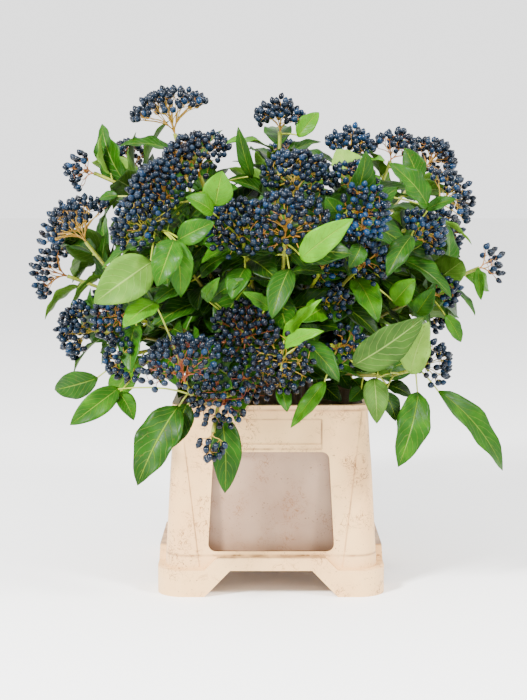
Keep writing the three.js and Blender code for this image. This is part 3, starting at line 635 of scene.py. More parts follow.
for head in heads:
    reach = sum(np.linalg.norm(head.way[i + 1] - head.way[i]) for i in range(4))
    for p in range(DEEP["pairs"]):
        first = DEEP["bare"] if head.loose else DEEP["first"]
        below = first + DEEP["apart"] * (p + 0.5 * chance(head.index, 60 + p))
        at = 40 - int(40 * below / reach)
        if at < 2:
            break
        start = head.steps[at]
        for sign in (-1, 1):
            index = 1000 + head.index * 16 + p * 2 + (sign + 1) // 2
            angle = math.pi * (p / 2 + chance(head.index, 78)) + 0.5 * chance(index, 4)
            outward = unit([start[0], start[1], 0.5 * (start[2] - HEART[2])])
            way = around(head.facing, angle) * sign + outward * (0.3 + 0.5 * chance(index, 5))
            way[2] -= 0.35 * chance(index, 6)
            way = unit(way)
            size = 0.75 + 0.6 * chance(index, 7)
            foot = start + way * PETIOLE
            tip = foot + way * DEEP["length"] * size
            if np.dot(tip - head.joint, head.facing) > 12:
                continue
            look = outward + np.array([0, 0, 0.5])
            # painted shade: leaves deep in the bush get darker tones than the ones in front
            tone = 0.05 + 0.45 * chance(index, 8)
            leaf = Leaf(start, foot, tip, look, DEEP["width"] * size, index, head.branch, tone)
            kept += add_inner(leaf, LOWEST["inner"], 0.2)
for n, (foot, tip, wide, depth) in enumerate(OVER_RIM):
    a, b = place(foot, depth[0]), place(tip, depth[1])
    root, branch = nearest_wood(a)
    # painted shade: the leaves low over the rim get dark tones
    tone = 0.1 + 0.3 * chance(n, 8)
    leaf = Leaf(root, a, b, np.array([0, -1, 0.5]), wide, 4000 + n, branch, tone)
    kept += add_inner(leaf, LOWEST["rim"], 0.6)
print(kept, "inner leaves down the shoots and over the rim")
for branch in branches:
    out = unit([branch.fork[0], branch.fork[1], 0])
    for p in range(14):
        index = 3000 + branch.k * 16 + p
        start = branch.fork - np.array([0, 0, 4 * (p % 4)])
        angle = math.atan2(out[1], out[0]) + math.radians(80) * (chance(index, 1) - 0.5)
        way = unit([math.cos(angle), math.sin(angle), 0.5 * chance(index, 2) - 0.1])
        foot = start + way * (4 + 34 * chance(index, 4))
        length = 50 + 30 * chance(index, 7)
        look = np.array([0, 0, 1]) + way * 0.2
        # painted shade: the leaves at the fork, deep in the bush, get dark tones
        tone = 0.05 + 0.4 * chance(index, 8)
        leaf = Leaf(start, foot, foot + way * length, look, 0.5 * length, index, branch, tone)
        kept += add_inner(leaf, LOWEST["fork"], 0.3)
print(kept, "inner leaves,", len(leaves), "in all")

# %% [markdown]
# ## Nodes
# Repeats such as berries and stalks come from Geometry Nodes trees, and finishes from shader trees. One
# small function adds a node to either kind, with its settings, and with a value or a link for each input.
# The class after it holds the short ways that all the finishes share.

# %% Helpers for nodes and meshes
def put(tree, kind, inputs=None, **settings):
    node = tree.nodes.new(kind)
    for name, value in settings.items():
        setattr(node, name, value)
    for name, value in (inputs or {}).items():
        if isinstance(value, bpy.types.NodeSocket):
            tree.links.new(value, node.inputs[name])
        else:
            node.inputs[name].default_value = value
    return node


class Finish:
    """A material in the making, with a short way to add each kind of node that the finishes need."""

    def __init__(self, name, **constants):
        self.made = bpy.data.materials.new(name)
        self.made.use_nodes = True
        self.tree = self.made.node_tree
        self.shader = self.tree.nodes["Principled BSDF"]
        for socket, value in constants.items():
            self.shader.inputs[socket.replace("_", " ")].default_value = value
        self.place = self.put("ShaderNodeTexCoord").outputs["Object"]

    def put(self, kind, inputs=None, **settings):
        return put(self.tree, kind, inputs, **settings)

    def give(self, socket, value):
        self.tree.links.new(value, self.shader.inputs[socket])

    def attribute(self, name):
        return self.put("ShaderNodeAttribute", attribute_name=name).outputs["Fac"]

    def noise(self, size_mm, detail, bend=0.0):
        """Noise whose patches are about so many millimetres wide."""
        inputs = {"Vector": self.place, "Scale": 1 / (size_mm * MM), "Detail": detail, "Distortion": bend}
        return self.put("ShaderNodeTexNoise", inputs).outputs["Fac"]

    def maths(self, operation, a, b=0.0, c=0.0):
        return self.put("ShaderNodeMath", {0: a, 1: b, 2: c}, operation=operation).outputs[0]

    def between(self, value, low, high, to_low=0.0, to_high=1.0):
        """Stretches low to high out over to_low to to_high, and holds the value at its ends."""
        inputs = {"Value": value, 1: low, 2: high, 3: to_low, 4: to_high}
        return self.put("ShaderNodeMapRange", inputs).outputs[0]

    def drift(self, value, size_mm, detail, share):
        """A value that noise moves up and down by up to half the share."""
        shift = self.maths("SUBTRACT", self.noise(size_mm, detail), 0.5)
        return self.maths("MULTIPLY_ADD", shift, share, value)

    def blend(self, base, colour, share):
        inputs = {0: share, 6: base, 7: linear(colour)}
        return self.put("ShaderNodeMix", inputs, data_type="RGBA").outputs[2]

    def ramp(self, value, stops):
        node = self.put("ShaderNodeValToRGB", {"Fac": value})
        row = node.color_ramp.elements
        for at, colour in stops:
            stop = row[0] if at == 0 else row[-1] if at == 1 else row.new(at)
            stop.color = linear(colour)
        return node.outputs["Color"]

    def bump(self, height, strength, deep_mm):
        inputs = {"Height": height, "Strength": strength, "Distance": deep_mm * MM}
        self.give("Normal", self.put("ShaderNodeBump", inputs).outputs["Normal"])


def mesh_object(name, points, edges=(), faces=(), **attributes):
    """An object with a mesh from points in millimetres, with a float or vector on each point."""
    mesh = bpy.data.meshes.new(name)
    mesh.from_pydata([tuple(np.asarray(p) * MM) for p in points], edges, faces)
    for key, values in attributes.items():
        values = np.asarray(values, float)
        flat = values.ndim == 1
        layer = mesh.attributes.new(key, "FLOAT" if flat else "FLOAT_VECTOR", "POINT")
        layer.data.foreach_set("value" if flat else "vector", values.ravel())
    made = bpy.data.objects.new(name, mesh)
    bpy.context.scene.collection.objects.link(made)
    return made


def baked(piece):
    """The piece with its modifiers worked into a plain mesh."""
    bpy.context.view_layer.update()
    seen = piece.evaluated_get(bpy.context.evaluated_depsgraph_get())
    plain = bpy.data.meshes.new_from_object(seen)
    piece.modifiers.clear()
    old, piece.data = piece.data, plain
    plain.name = piece.name
    bpy.data.meshes.remove(old)
    return piece


def new_tree(name, **inputs):
    """A Geometry Nodes tree, its inputs, and a function that adds a node and returns its first output."""
    tree = bpy.data.node_groups.new(name, "GeometryNodeTree")
    tree.interface.new_socket("Geometry", in_out="INPUT", socket_type="NodeSocketGeometry")
    for label, kind in inputs.items():
        tree.interface.new_socket(label, in_out="INPUT", socket_type="NodeSocket" + kind)
    tree.interface.new_socket("Geometry", in_out="OUTPUT", socket_type="NodeSocketGeometry")

    def add(kind, inputs=None, **settings):
        return put(tree, kind, inputs, **settings).outputs[0]

    return tree, put(tree, "NodeGroupInput").outputs, add


def close_tree(tree, geometry, skin):
    """Makes the instances real, shades them smooth, gives them their material and hands them out."""
    real = put(tree, "GeometryNodeRealizeInstances", {"Geometry": geometry}).outputs[0]
    smooth = put(tree, "GeometryNodeSetShadeSmooth", {"Geometry": real}).outputs[0]
    skinned = put(tree, "GeometryNodeSetMaterial", {"Geometry": smooth, "Material": skin}).outputs[0]
    put(tree, "NodeGroupOutput", {0: skinned})


def grow(piece, tree, values):
    """Runs a Geometry Nodes tree on a piece, with its named inputs set, and keeps the plain result."""
    run = piece.modifiers.new("grow", "NODES")
    run.node_group = tree
    for item in tree.interface.items_tree:
        if item.item_type == "SOCKET" and item.in_out == "INPUT" and item.name in values:
            run[item.identifier] = values[item.name]
    return baked(piece)


print("helpers ready")

# %% [markdown]
# ## The skin of the berries
# A ripe viburnum berry is a small drupe with a metallic blue-black skin under a thin wax bloom. The bloom
# softens the gloss and turns the blue paler in patches a few millimetres wide. Each berry carries its own
# tint, so that a head looks like fruit and not like beads.

# %% Berry skin
BLUE_BLACK = ((0.0, "#0c080c"), (0.35, "#05080d"), (0.7, "#07121d"), (1.0, "#0a2947"))
skin = Finish("drupe_skin_with_wax_bloom", IOR=1.45, Specular_IOR_Level=0.26)
# bloom lies in patches about 5 mm wide, and is duller than the bare skin
bloom = skin.noise(5, 3.0)
bare = skin.ramp(skin.attribute("tint"), BLUE_BLACK)
skin.give("Base Color", skin.blend(bare, "#17334e", skin.between(bloom, 0.4, 0.75, 0.0, 0.4)))
skin.give("Roughness", skin.between(bloom, 0.3, 0.7, 0.12, 0.25))
berry_skin = skin.made
print(berry_skin.name)

# %% [markdown]
# ## One berry, repeated
# A berry is an egg shape with the dried rest of the flower as a small point at its free end. It starts as
# a sphere of four dozen faces, because it is repeated thousands of times. The tree stretches it, pulls the
# point out, and puts one on each place, turned along the place's own axis.

# %% The berry tree
berry_tree, given, add = new_tree(
    "berries_on_places", Width="Float", Length="Float", Point="Float", Skin="Material"
)


def maths(operation, a, b, c=0.0):
    return add("ShaderNodeMath", {0: a, 1: b, 2: c}, operation=operation)


half_wide = maths("MULTIPLY", given["Width"], 0.5)
ball = add("GeometryNodeMeshUVSphere", {"Segments": 8, "Rings": 6, "Radius": half_wide})
at = put(berry_tree, "ShaderNodeSeparateXYZ", {0: add("GeometryNodeInputPosition")}).outputs
# a high power of the level is close to 1 only at the very end, where the dried flower sits
level = maths("MAXIMUM", maths("DIVIDE", at["Z"], half_wide), 0.0)
drawn = maths("MULTIPLY", maths("POWER", level, 12.0), given["Point"])
tall = maths("MULTIPLY_ADD", at["Z"], maths("DIVIDE", given["Length"], given["Width"]), drawn)
egg_at = add("ShaderNodeCombineXYZ", {0: at["X"], 1: at["Y"], 2: tall})
egg = add("GeometryNodeSetPosition", {"Geometry": ball, "Position": egg_at})
axis = add("GeometryNodeInputNamedAttribute", {"Name": "axis"}, data_type="FLOAT_VECTOR")
many = add(
    "GeometryNodeInstanceOnPoints",
    {
        "Points": given["Geometry"],
        "Instance": egg,
        "Rotation": add("FunctionNodeAlignRotationToVector", {"Vector": axis}, axis="Z"),
        "Scale": add("GeometryNodeInputNamedAttribute", {"Name": "size"}, data_type="FLOAT"),
    },
)
close_tree(berry_tree, many, given["Skin"])
print(len(berry_tree.nodes), "nodes in the berry tree")

# %% [markdown]
# Some heads are riper and more purple, and some bluer. The tint of a berry is its head's own, give or take
# a little. It hangs along the line from its head's joint, drawn towards the way that the head faces.

# %% Berries for every head
# heads that differ from the common blue-black, 0 for purple and 1 for blue
HEAD_TINT = {13: 0.72, 23: 0.12, 24: 0.15, 2: 0.35, 22: 0.3, 10: 0.65, 15: 0.65, 26: 0.65, 25: 0.6}
berry_values = {
    "Width": BERRY["wide"] * MM,
    "Length": BERRY["long"] * MM,
    "Point": BERRY["point"] * MM,
    "Skin": berry_skin,
}
pieces = []
for head in heads:
    rng = np.random.default_rng(1000 + head.index)
    spots = np.array(head.berries)
    head.axes = [unit(unit(b - head.joint) + head.facing * 0.5 + rng.normal(0, 0.22, 3)) for b in spots]
    tints = np.clip(HEAD_TINT.get(head.index, 0.5) + rng.normal(0, 0.2, len(spots)), 0, 1)
    sizes = rng.uniform(0.86, 1.06, len(spots))
    piece = mesh_object("berries_" + head.number, spots, axis=head.axes, tint=tints, size=sizes)
    pieces.append((grow(piece, berry_tree, berry_values), "berry", [head.node]))
print(sum(len(p.data.polygons) for p, _, _ in pieces), "faces of berries")

# %% [markdown]
# ## Stalks of the berries
# From a head's joint a few thick rays spread, each splits at a small knot, and thin stalks run on to the
# berries. They are ochre to orange-brown, redder on some heads and yellow on others.

# %% Stalk skin
OLIVE_TO_RED = ((0.0, "#7f7c18"), (0.3, "#98761d"), (0.55, "#8b5716"), (0.8, "#7a3014"), (1.0, "#521e11"))
skin = Finish("young_stalk_bark", IOR=1.45, Roughness=0.5)
# blotches about 6 mm long, where the sun has reddened the skin
skin.give("Base Color", skin.ramp(skin.drift(skin.attribute("tint"), 6, 2.0, 0.5), OLIVE_TO_RED))
stalk_skin = skin.made
print(stalk_skin.name)

# %% [markdown]
# Every stalk, shoot and stem is a tube that follows a path. One tree makes them all: it reads a mesh of
# edges, takes each point's thickness from an attribute, and closes the ends.

# %% The tube tree
tube_tree, given, add = new_tree("tubes_on_paths", Sides="Int", Skin="Material")
path = add("GeometryNodeMeshToCurve", {"Mesh": given["Geometry"]})
ring = add("GeometryNodeCurvePrimitiveCircle", {"Resolution": given["Sides"], "Radius": 1.0})
thick = add("GeometryNodeInputNamedAttribute", {"Name": "thick"}, data_type="FLOAT")
tube = add(
    "GeometryNodeCurveToMesh",
    {"Curve": path, "Profile Curve": ring, "Scale": thick, "Fill Caps": True},
)
close_tree(tube_tree, tube, given["Skin"])


class Paths:
    """Open lines of points, each with its thickness and tint, gathered for one tube piece."""

    def __init__(self):
        self.points, self.edges, self.thick, self.tint = [], [], [], []

    def line(self, points, thick, tint):
        first, count = len(self.points), len(points)
        self.points += list(points)
        self.edges += [(first + i, first + i + 1) for i in range(count - 1)]
        self.thick += list(np.interp(np.linspace(0, 1, count), np.linspace(0, 1, len(thick)), thick) * MM)
        self.tint += list(np.interp(np.linspace(0, 1, count), np.linspace(0, 1, len(tint)), tint))

    def piece(self, name, sides, skin):
        made = mesh_object(name, self.points, self.edges, thick=self.thick, tint=self.tint)
        return grow(made, tube_tree, {"Sides": sides, "Skin": skin})


def bow(a, b, pull, share, count):
    """A bent line from a to b that leaves a along pull."""
    return curve(a, a + pull * share * np.linalg.norm(b - a), b, count)


print("tubes ready")

# %% Stalks for every head
# half thickness of the main rays, the smaller rays and the thin stalks, at both ends
THICK = {"ray": [0.85, 0.6], "fork": [0.6, 0.45], "thin": [0.42, 0.38]}
STALK_TINT = {20: 0.82, 21: 0.85, 28: 0.15, 4: 0.12, 9: 0.5, 2: 0.45, 5: 0.4, 18: 0.6, 22: 0.75, 23: 0.7}
for head in heads:
    tone = STALK_TINT.get(head.index, 0.25 + 0.35 * chance(head.index, 31))
    knots = [spot - head.lean(spot) * 8 for spot in head.tufts]
    for berry in head.berries:
        near = min((np.linalg.norm(berry - knot) for knot in knots), default=99)
        if near > 15:
            knots.append(berry + unit(head.joint - berry) * 9)
    rays, thin = Paths(), Paths()
    main = [bow(head.joint, knot, head.facing, 0.35, 6) for knot in knots[: max(len(head.tufts), 1)]]
    for ray in main:
        rays.line(ray, THICK["ray"], [tone, tone - 0.08])
    for knot in knots[len(main) :]:
        # a smaller ray splits from the nearest main one, a third of the way up
        fork = min((ray[2] for ray in main), key=lambda p: np.linalg.norm(p - knot))
        way = bow(fork, knot, unit(fork - head.joint), 0.35, 4)
        rays.line(way, THICK["fork"], [tone - 0.04, tone - 0.1])
    for berry, axis_of in zip(head.berries, head.axes):
        knot = min(knots, key=lambda k: np.linalg.norm(k - berry))
        end = berry - axis_of * 3.2
        way = bow(knot, end, unit(knot - head.joint), 0.3, 3)
        thin.line(way, THICK["thin"], [tone - 0.05, tone + 0.1])
    pieces.append((rays.piece("rays_" + head.number, 5, stalk_skin), "berry", []))
    pieces.append((thin.piece("stalks_" + head.number, 3, stalk_skin), "berry", []))
print("stalks for", len(heads), "heads")

# %% [markdown]
# ## Shoots and stems
# A stem is a woody, grey-brown cane. The shoots that leave it at the fork are green where they are young,
# with a slight swelling where a head starts.

# %% Bark
GREEN_TO_BROWN = ((0.0, "#87941c"), (0.35, "#65641d"), (0.6, "#5d491f"), (1.0, "#463828"))
skin = Finish("shoot_bark", IOR=1.45, Roughness=0.55)
# warts and streaks of the bark, about 3 mm
skin.give("Base Color", skin.ramp(skin.drift(skin.attribute("tint"), 3, 4.0, 0.7), GREEN_TO_BROWN))
skin.bump(skin.noise(3, 4.0), 0.35, 0.4)
bark = skin.made
print(bark.name)

# %% Wood for every branch
def curve_between(way, count):
    """Points along the part's straight lengths, with their corners rounded."""
    walked = [walk(way, i / (count - 1)) for i in range(count)]
    smooth = [walked[0]]
    for i in range(1, count - 1):
        smooth.append((walked[i - 1] + walked[i] * 2 + walked[i + 1]) / 4)
    return smooth + [walked[-1]]


for branch in branches:
    wood = Paths()
    belly = (branch.foot + branch.fork) / 2
    top = branch.fork + unit(branch.fork - belly) * 3
    cane = [branch.foot + (top - branch.foot) * i / 8 for i in range(9)]
    wood.line(cane, [3.3, 3.2, 3.3, 3.1], [1.0, 0.75])
    for head in branch.carried:
        way = curve_between(head.way, 17)[:-1] + [head.way[-1], head.joint]
        wood.line(way, [2.1, 1.95, 1.8, 1.7, 2.2], [0.7, 0.35, 0.3 * chance(head.index, 51) - 0.05])
    for leaf in leaves:
        if leaf.branch is not branch:
            continue
        reach = np.linalg.norm(leaf.root - leaf.foot)
        pull = unit(leaf.foot - leaf.root) + np.array([0, 0, 0.25])
        end = leaf.foot + leaf.along * 2
        wood.line(bow(leaf.root, end, pull, 0.4, 6 if reach > 12 else 3), [1.05, 0.75], [0.12, 0.02])
    branch.wood = wood.piece("shoots_%02d" % (branch.k + 1), 8, bark)
    pieces.append((branch.wood, "leafy_stem", [branch.node]))
print(sum(len(b.wood.data.polygons) for b in branches), "faces of wood")

# %% [markdown]
# ## Leaves
# A viburnum leaf is leathery, oval and pointed, arched along its midrib and folded a little upwards. Its
# upper face is glossy with sunken veins, and its underside is pale and dull. A grid of points follows the
# frame of each packed leaf, its UV map runs along and across the blade for the veins, and Solidify gives it
# the thickness and a second finish for the underside.

# %% Leaf finishes
def veined(name, dark, middle, light, vein, gloss, swell_mm):
    """A leaf finish: its colour by the leaf's tone, and its veins from the UV map of the blade."""
    skin = Finish(name, IOR=1.47, Specular_IOR_Level=0.12)
    maths = skin.maths
    blade_map = skin.put("ShaderNodeUVMap", uv_map="blade").outputs[0]
    blade = skin.put("ShaderNodeSeparateXYZ", {0: blade_map}).outputs
    off_rib = maths("ABSOLUTE", maths("SUBTRACT", blade["X"], 0.5))
    # side veins leave the midrib every eighth of the blade, bend towards the tip, and wander over 12 mm
    forward = maths("MULTIPLY", maths("POWER", off_rib, 1.3), 0.75)
    step = maths("MULTIPLY", maths("SUBTRACT", blade["Y"], forward), 8.0)
    step = maths("MULTIPLY_ADD", skin.noise(12, 1.0), 0.7, step)
    off_vein = maths("ABSOLUTE", maths("SUBTRACT", maths("FRACT", step), 0.5))
    side_vein = skin.between(off_vein, 0.43, 0.5, 0.0, 0.45)
    veins = maths("MAXIMUM", side_vein, skin.between(off_rib, 0.0, 0.03, 1.0, 0.0))
    # the blade's colour drifts over patches about 18 mm wide
    tone = skin.drift(skin.attribute("tone"), 18, 3.0, 0.7)
    colour = skin.ramp(tone, ((0.0, dark), (0.5, middle), (1.0, light)))
    colour = skin.blend(colour, vein, maths("MULTIPLY", veins, 0.55))
    # brown flecks of 2 mm here and there, where the wax was bruised
    colour = skin.blend(colour, "#3c3a10", skin.between(skin.noise(2.6, 1.0), 0.69, 0.74, 0.0, 0.6))
    skin.give("Base Color", colour)
    fine = skin.noise(2, 2.0)
    skin.give("Roughness", skin.between(fine, 0.3, 0.7, gloss, gloss + 0.14))
    # the blade swells between its veins
    skin.bump(maths("MULTIPLY_ADD", fine, 0.12, maths("SUBTRACT", 1.0, veins)), 0.75, swell_mm)
    return skin.made


upper_side = veined("leaf_waxy_upper_side", "#081a02", "#1a4503", "#457c00", "#7f982a", 0.33, 1.0)
under_side = veined("leaf_dull_underside", "#243f0d", "#42661a", "#6b8d32", "#89a24a", 0.45, -0.8)
print(upper_side.name, under_side.name)

# %% Blades for every branch
ROWS, COLUMNS = 14, 4


def blade_grid(leaf):
    """Rows of points over a blade, foot to tip, with their places along and across it."""
    stations = np.linspace(0, 1, ROWS + 1)
    curl = 0.07 * leaf.length * (chance(leaf.index, 21) - 0.3)
    wave = leaf.length * (0.012 + 0.04 * chance(leaf.index, 22))
    points, spots = [], []
    for s in stations:
        half = 0.5 * leaf.wide * max(math.sin(math.pi * s**0.8), 0) ** 0.75
        half = max(half, 0.9 if s < 0.5 else 0.25)
        rise = 0.103 * leaf.length * math.sin(math.pi * s**0.9) ** 0.8 if 0 < s < 1 else 0
        for j in range(-COLUMNS, COLUMNS + 1):
            t = j / COLUMNS
            lift = 0.24 * half * abs(t) ** 1.4 - curl * s**3
            phase = 7 * chance(leaf.index, 23 + (j > 0))
            lift += wave * abs(t) ** 2 * math.sin(2 * math.pi * (2.6 * s + phase)) * math.sin(math.pi * s)
            at = leaf.foot + leaf.along * s * leaf.length + leaf.side * half * t + leaf.up * (rise + lift)
            points.append(np.clip(at, BOX[0] + 0.4, BOX[1] - 0.4))
            spots.append((0.5 + 0.5 * t, s))
    return points, spots


def blades(name, group):
    points, spots, faces, tones, slots = [], [], [], [], []
    for leaf in group:
        first = len(points)
        own, own_spots = blade_grid(leaf)
        points, spots = points + own, spots + own_spots
        tones += [leaf.tone] * len(own)
        wide = 2 * COLUMNS + 1
        for r in range(ROWS):
            for c in range(wide - 1):
                a = first + r * wide + c
                faces.append((a, a + 1, a + 1 + wide, a + wide))
                slots.append(leaf.under)
    made = mesh_object(name, points, (), faces, tone=tones)
    layer = made.data.uv_layers.new(name="blade")
    for loop in made.data.loops:
        layer.data[loop.index].uv = spots[loop.vertex_index]
    # a leaf that shows its underside starts one slot later, so that the faces' finishes change places
    for side in (upper_side, under_side, upper_side):
        made.data.materials.append(side)
    made.data.polygons.foreach_set("material_index", slots)
    made.data.polygons.foreach_set("use_smooth", [True] * len(faces))
    thick = made.modifiers.new("thickness", "SOLIDIFY")
    thick.thickness, thick.offset = 0.5 * MM, 0
    thick.material_offset = 1
    return baked(made)


for branch in branches:
    group = [leaf for leaf in leaves if leaf.branch is branch]
    pieces.append((blades("leaves_%02d" % (branch.k + 1), group), "leafy_stem", [branch.node]))
print(len(leaves), "leaves dressed")

# %% [markdown]
# ## The bucket
# The bucket is injection moulded from cream polypropylene. An outer shell with an arched foot and a window
# in each face holds a plain square tub. The part has the same shape with few steps round its corners. Here
# the same rings get more steps, booleans cut the windows and the label slots, and a small bevel catches
# the light along the edges, as a moulded edge does.

# %% Shapes of the bucket
FOOT = {"half": 120, "high": 28, "corner": 28, "wide": 22}
ARCH = {"low": 70, "high": 43, "band_top": 42, "band_half": 56}
WALL = {"low": 112, "high": 103, "thick": 3, "corner": 24, "base": 28}
RIM = {"z": 200, "deep": 5, "proud": 1.5}
TUB = {"floor": 34, "low": 86.5, "high": 97, "thick": 3.5, "corner": 18}
WINDOW = {"low": 46, "high": 151, "half_low": 66, "half_high": 61, "corner": 8}
PANEL = {"low": 75.5, "high": 95, "deep": 1.2, "foot": 30, "top": 194}
LABEL = {"low": 154, "high": 185, "half": 53, "deep": 2.2, "lip": 5, "back": 3}


def round_square(half, corner, z, steps=9):
    ring, inset = [], (half - corner) * math.sqrt(2)
    for quarter in range(4):
        middle = (quarter + 0.5) * math.pi / 2
        for i in range(steps + 1):
            angle = (quarter + i / steps) * math.pi / 2
            x = inset * math.cos(middle) + corner * math.cos(angle)
            ring.append((x, inset * math.sin(middle) + corner * math.sin(angle), z))
    return ring


def loft(name, rings):
    n, last = len(rings[0]), (len(rings) - 1) * len(rings[0])
    faces = [tuple(range(n - 1, -1, -1)), tuple(range(last, last + n))]
    for r in range(len(rings) - 1):
        faces += [(r * n + i, r * n + (i + 1) % n, r * n + n + (i + 1) % n, r * n + n + i) for i in range(n)]
    return mesh_object(name, [p for ring in rings for p in ring], (), faces)


def through(name, outline, near, far):
    """An outline in x and z, extruded through y."""
    return loft(name, [[(x, y, z) for x, z in outline] for y in (far, near)])


def cut_or_join(base, tools, operation):
    """Booleans of the tools into the base. The tools are then taken out of the scene."""
    for tool in tools:
        step = base.modifiers.new("step", "BOOLEAN")
        step.operation, step.solver, step.object = operation, "EXACT", tool
    baked(base)
    for tool in tools:
        bpy.data.objects.remove(tool)
    return base


def turned_copies(tool, turns):
    """Copies of a tool turned about the bucket's middle, with the turn worked into the mesh."""
    copies = [tool]
    for turn in turns:
        copy = tool.copy()
        copy.data = tool.data.copy()
        copy.data.transform(Matrix.Rotation(math.radians(turn), 4, "Z"))
        bpy.context.scene.collection.objects.link(copy)
        copies.append(copy)
    return copies


def wall_at(z):
    return WALL["low"] + (WALL["high"] - WALL["low"]) * (z - WALL["base"]) / (RIM["z"] - WALL["base"])


def tub_at(z):
    return TUB["low"] + (TUB["high"] - TUB["low"]) * (z - TUB["floor"]) / (RIM["z"] - TUB["floor"])


def face_slab(name, half0, half1, z0, z1, inner, outer):
    """A slab that follows a slanted face, from deep inside the wall to out past it."""

    def ring(half, z):
        out, inside = -wall_at(z) - outer, -wall_at(z) + inner
        return [(-half, out, z), (half, out, z), (half, inside, z), (-half, inside, z)]

    return loft(name, [ring(half0, z0), ring(half1, z1)])


print("wall at the label %.1f mm from the middle" % wall_at(170))

# %% The foot of the bucket
def foot_frame():
    right = [
        (FOOT["half"], 0),
        (FOOT["half"], FOOT["high"]),
        (ARCH["low"], FOOT["high"]),
        (ARCH["band_half"], ARCH["band_top"]),
    ]
    outline = [(ARCH["low"], 0)] + right + [(-x, z) for x, z in reversed(right)]
    outline += [(-ARCH["low"], 0), (-ARCH["high"], FOOT["high"]), (ARCH["high"], FOOT["high"])]
    band = through("band", outline, -FOOT["half"], -FOOT["half"] + FOOT["wide"])
    bands = turned_copies(band, (90, 180, 270))
    frame_piece = cut_or_join(bands[0], bands[1:], "UNION")
    ends = (-1, ARCH["band_top"] + 1)
    rounded = loft("rounded", [round_square(FOOT["half"], FOOT["corner"], z) for z in ends])
    return cut_or_join(frame_piece, [rounded], "INTERSECT")


foot_piece = foot_frame()
print(len(foot_piece.data.polygons), "faces of the foot")

# %% The shell, the windows and the tub
def shell(name, inset, steps=9):
    low = round_square(WALL["low"] - inset, WALL["corner"], WALL["base"] - (1 if inset else 0), steps)
    high_z = RIM["z"] - (RIM["deep"] if inset else 0)
    return loft(name, [low, round_square(WALL["high"] - inset, WALL["corner"] - 4, high_z, steps)])


def window_hole():
    outline = []
    c = WINDOW["corner"]
    for x, z, start in (
        (WINDOW["half_low"] - c, WINDOW["low"] + c, -90),
        (WINDOW["half_high"] - c, WINDOW["high"] - c, 0),
        (-WINDOW["half_high"] + c, WINDOW["high"] - c, 90),
        (-WINDOW["half_low"] + c, WINDOW["low"] + c, 180),
    ):
        for turn in range(0, 91, 15):
            angle = math.radians(start + turn)
            outline.append((x + c * math.cos(angle), z + c * math.sin(angle)))
    return through("window", outline, -FOOT["half"] - 1, -tub_at(WINDOW["high"]) - TUB["thick"] - 0.5)


low, high, half = LABEL["low"], LABEL["high"], LABEL["half"]
slot = face_slab("slot", half, half, low, high, LABEL["deep"], 2)
lip = face_slab("lip", half + 1, half + 1, low - 1, low + LABEL["lip"], LABEL["deep"] + 1, -LABEL["deep"] / 2)
slot = cut_or_join(slot, [lip], "DIFFERENCE")
panel = face_slab("panel", PANEL["low"], PANEL["high"], PANEL["foot"], PANEL["top"], PANEL["deep"], 2)
bucket = shell("bucket_shell", 0)
cut_or_join(bucket, turned_copies(panel, (90, 180, 270)) + turned_copies(slot, (180,)), "DIFFERENCE")
hollow = shell("hollow", WALL["thick"])
behind = face_slab("behind", half + 4, half + 4, low - 4, high + 4, WALL["thick"] + LABEL["back"], 0)
cut_or_join(hollow, turned_copies(behind, (180,)), "DIFFERENCE")
cut_or_join(bucket, [hollow], "DIFFERENCE")
cut_or_join(bucket, turned_copies(window_hole(), (90, 180, 270)), "DIFFERENCE")
proud = WALL["high"] + RIM["proud"]
rim = loft("rim", [round_square(proud, WALL["corner"] - 4, z) for z in (RIM["z"] - RIM["deep"], RIM["z"])])
tub_low = round_square(TUB["low"] + TUB["thick"], TUB["corner"] + 3, TUB["floor"] - 4)
below_rim, above_rim = RIM["z"] - 1, RIM["z"] + 1
tub = loft("tub", [tub_low, round_square(tub_at(below_rim) + TUB["thick"], TUB["corner"], below_rim)])
cavity_low = round_square(TUB["low"], TUB["corner"], TUB["floor"])
cavity = loft("cavity", [cavity_low, round_square(tub_at(above_rim), TUB["corner"], above_rim)])
cut_or_join(bucket, [rim, tub, foot_piece], "UNION")
cut_or_join(bucket, [cavity], "DIFFERENCE")
print(len(bucket.data.polygons), "faces of the bucket before its edges are rounded")

# %% Small holes, and rounded edges
def dot(x, y, z, radius, deep):
    turns = np.linspace(0, 2 * math.pi, 13)[:-1]
    ring = [(x + radius * math.cos(a), y + radius * math.sin(a)) for a in turns]
    return loft("dot", [[(px, py, z - deep) for px, py in ring], [(px, py, z + 1) for px, py in ring]])


# drain holes in the ledge under each window and on the corners of the foot
dots = [dot(x + side * 2.6, -111, ARCH["band_top"], 1.9, 5) for x in (-36, 36) for side in (-1, 1)]
dots += [dot(x + side * 2, -114.5, FOOT["high"], 0.9, 4) for x in (-92, 92) for side in (-1, 1)]
drill = cut_or_join(dots[0], dots[1:], "UNION")
cut_or_join(bucket, turned_copies(drill, (90, 180, 270)), "DIFFERENCE")

edges = bucket.modifiers.new("edges", "BEVEL")
edges.width, edges.segments = 0.9 * MM, 3
edges.limit_method, edges.angle_limit = "ANGLE", math.radians(28)
edges.use_clamp_overlap = True
baked(bucket)
bucket.data.polygons.foreach_set("use_smooth", [True] * len(bucket.data.polygons))
even = bucket.modifiers.new("even", "WEIGHTED_NORMAL")
even.keep_sharp = True
baked(bucket)
print(len(bucket.data.polygons), "faces of the bucket")
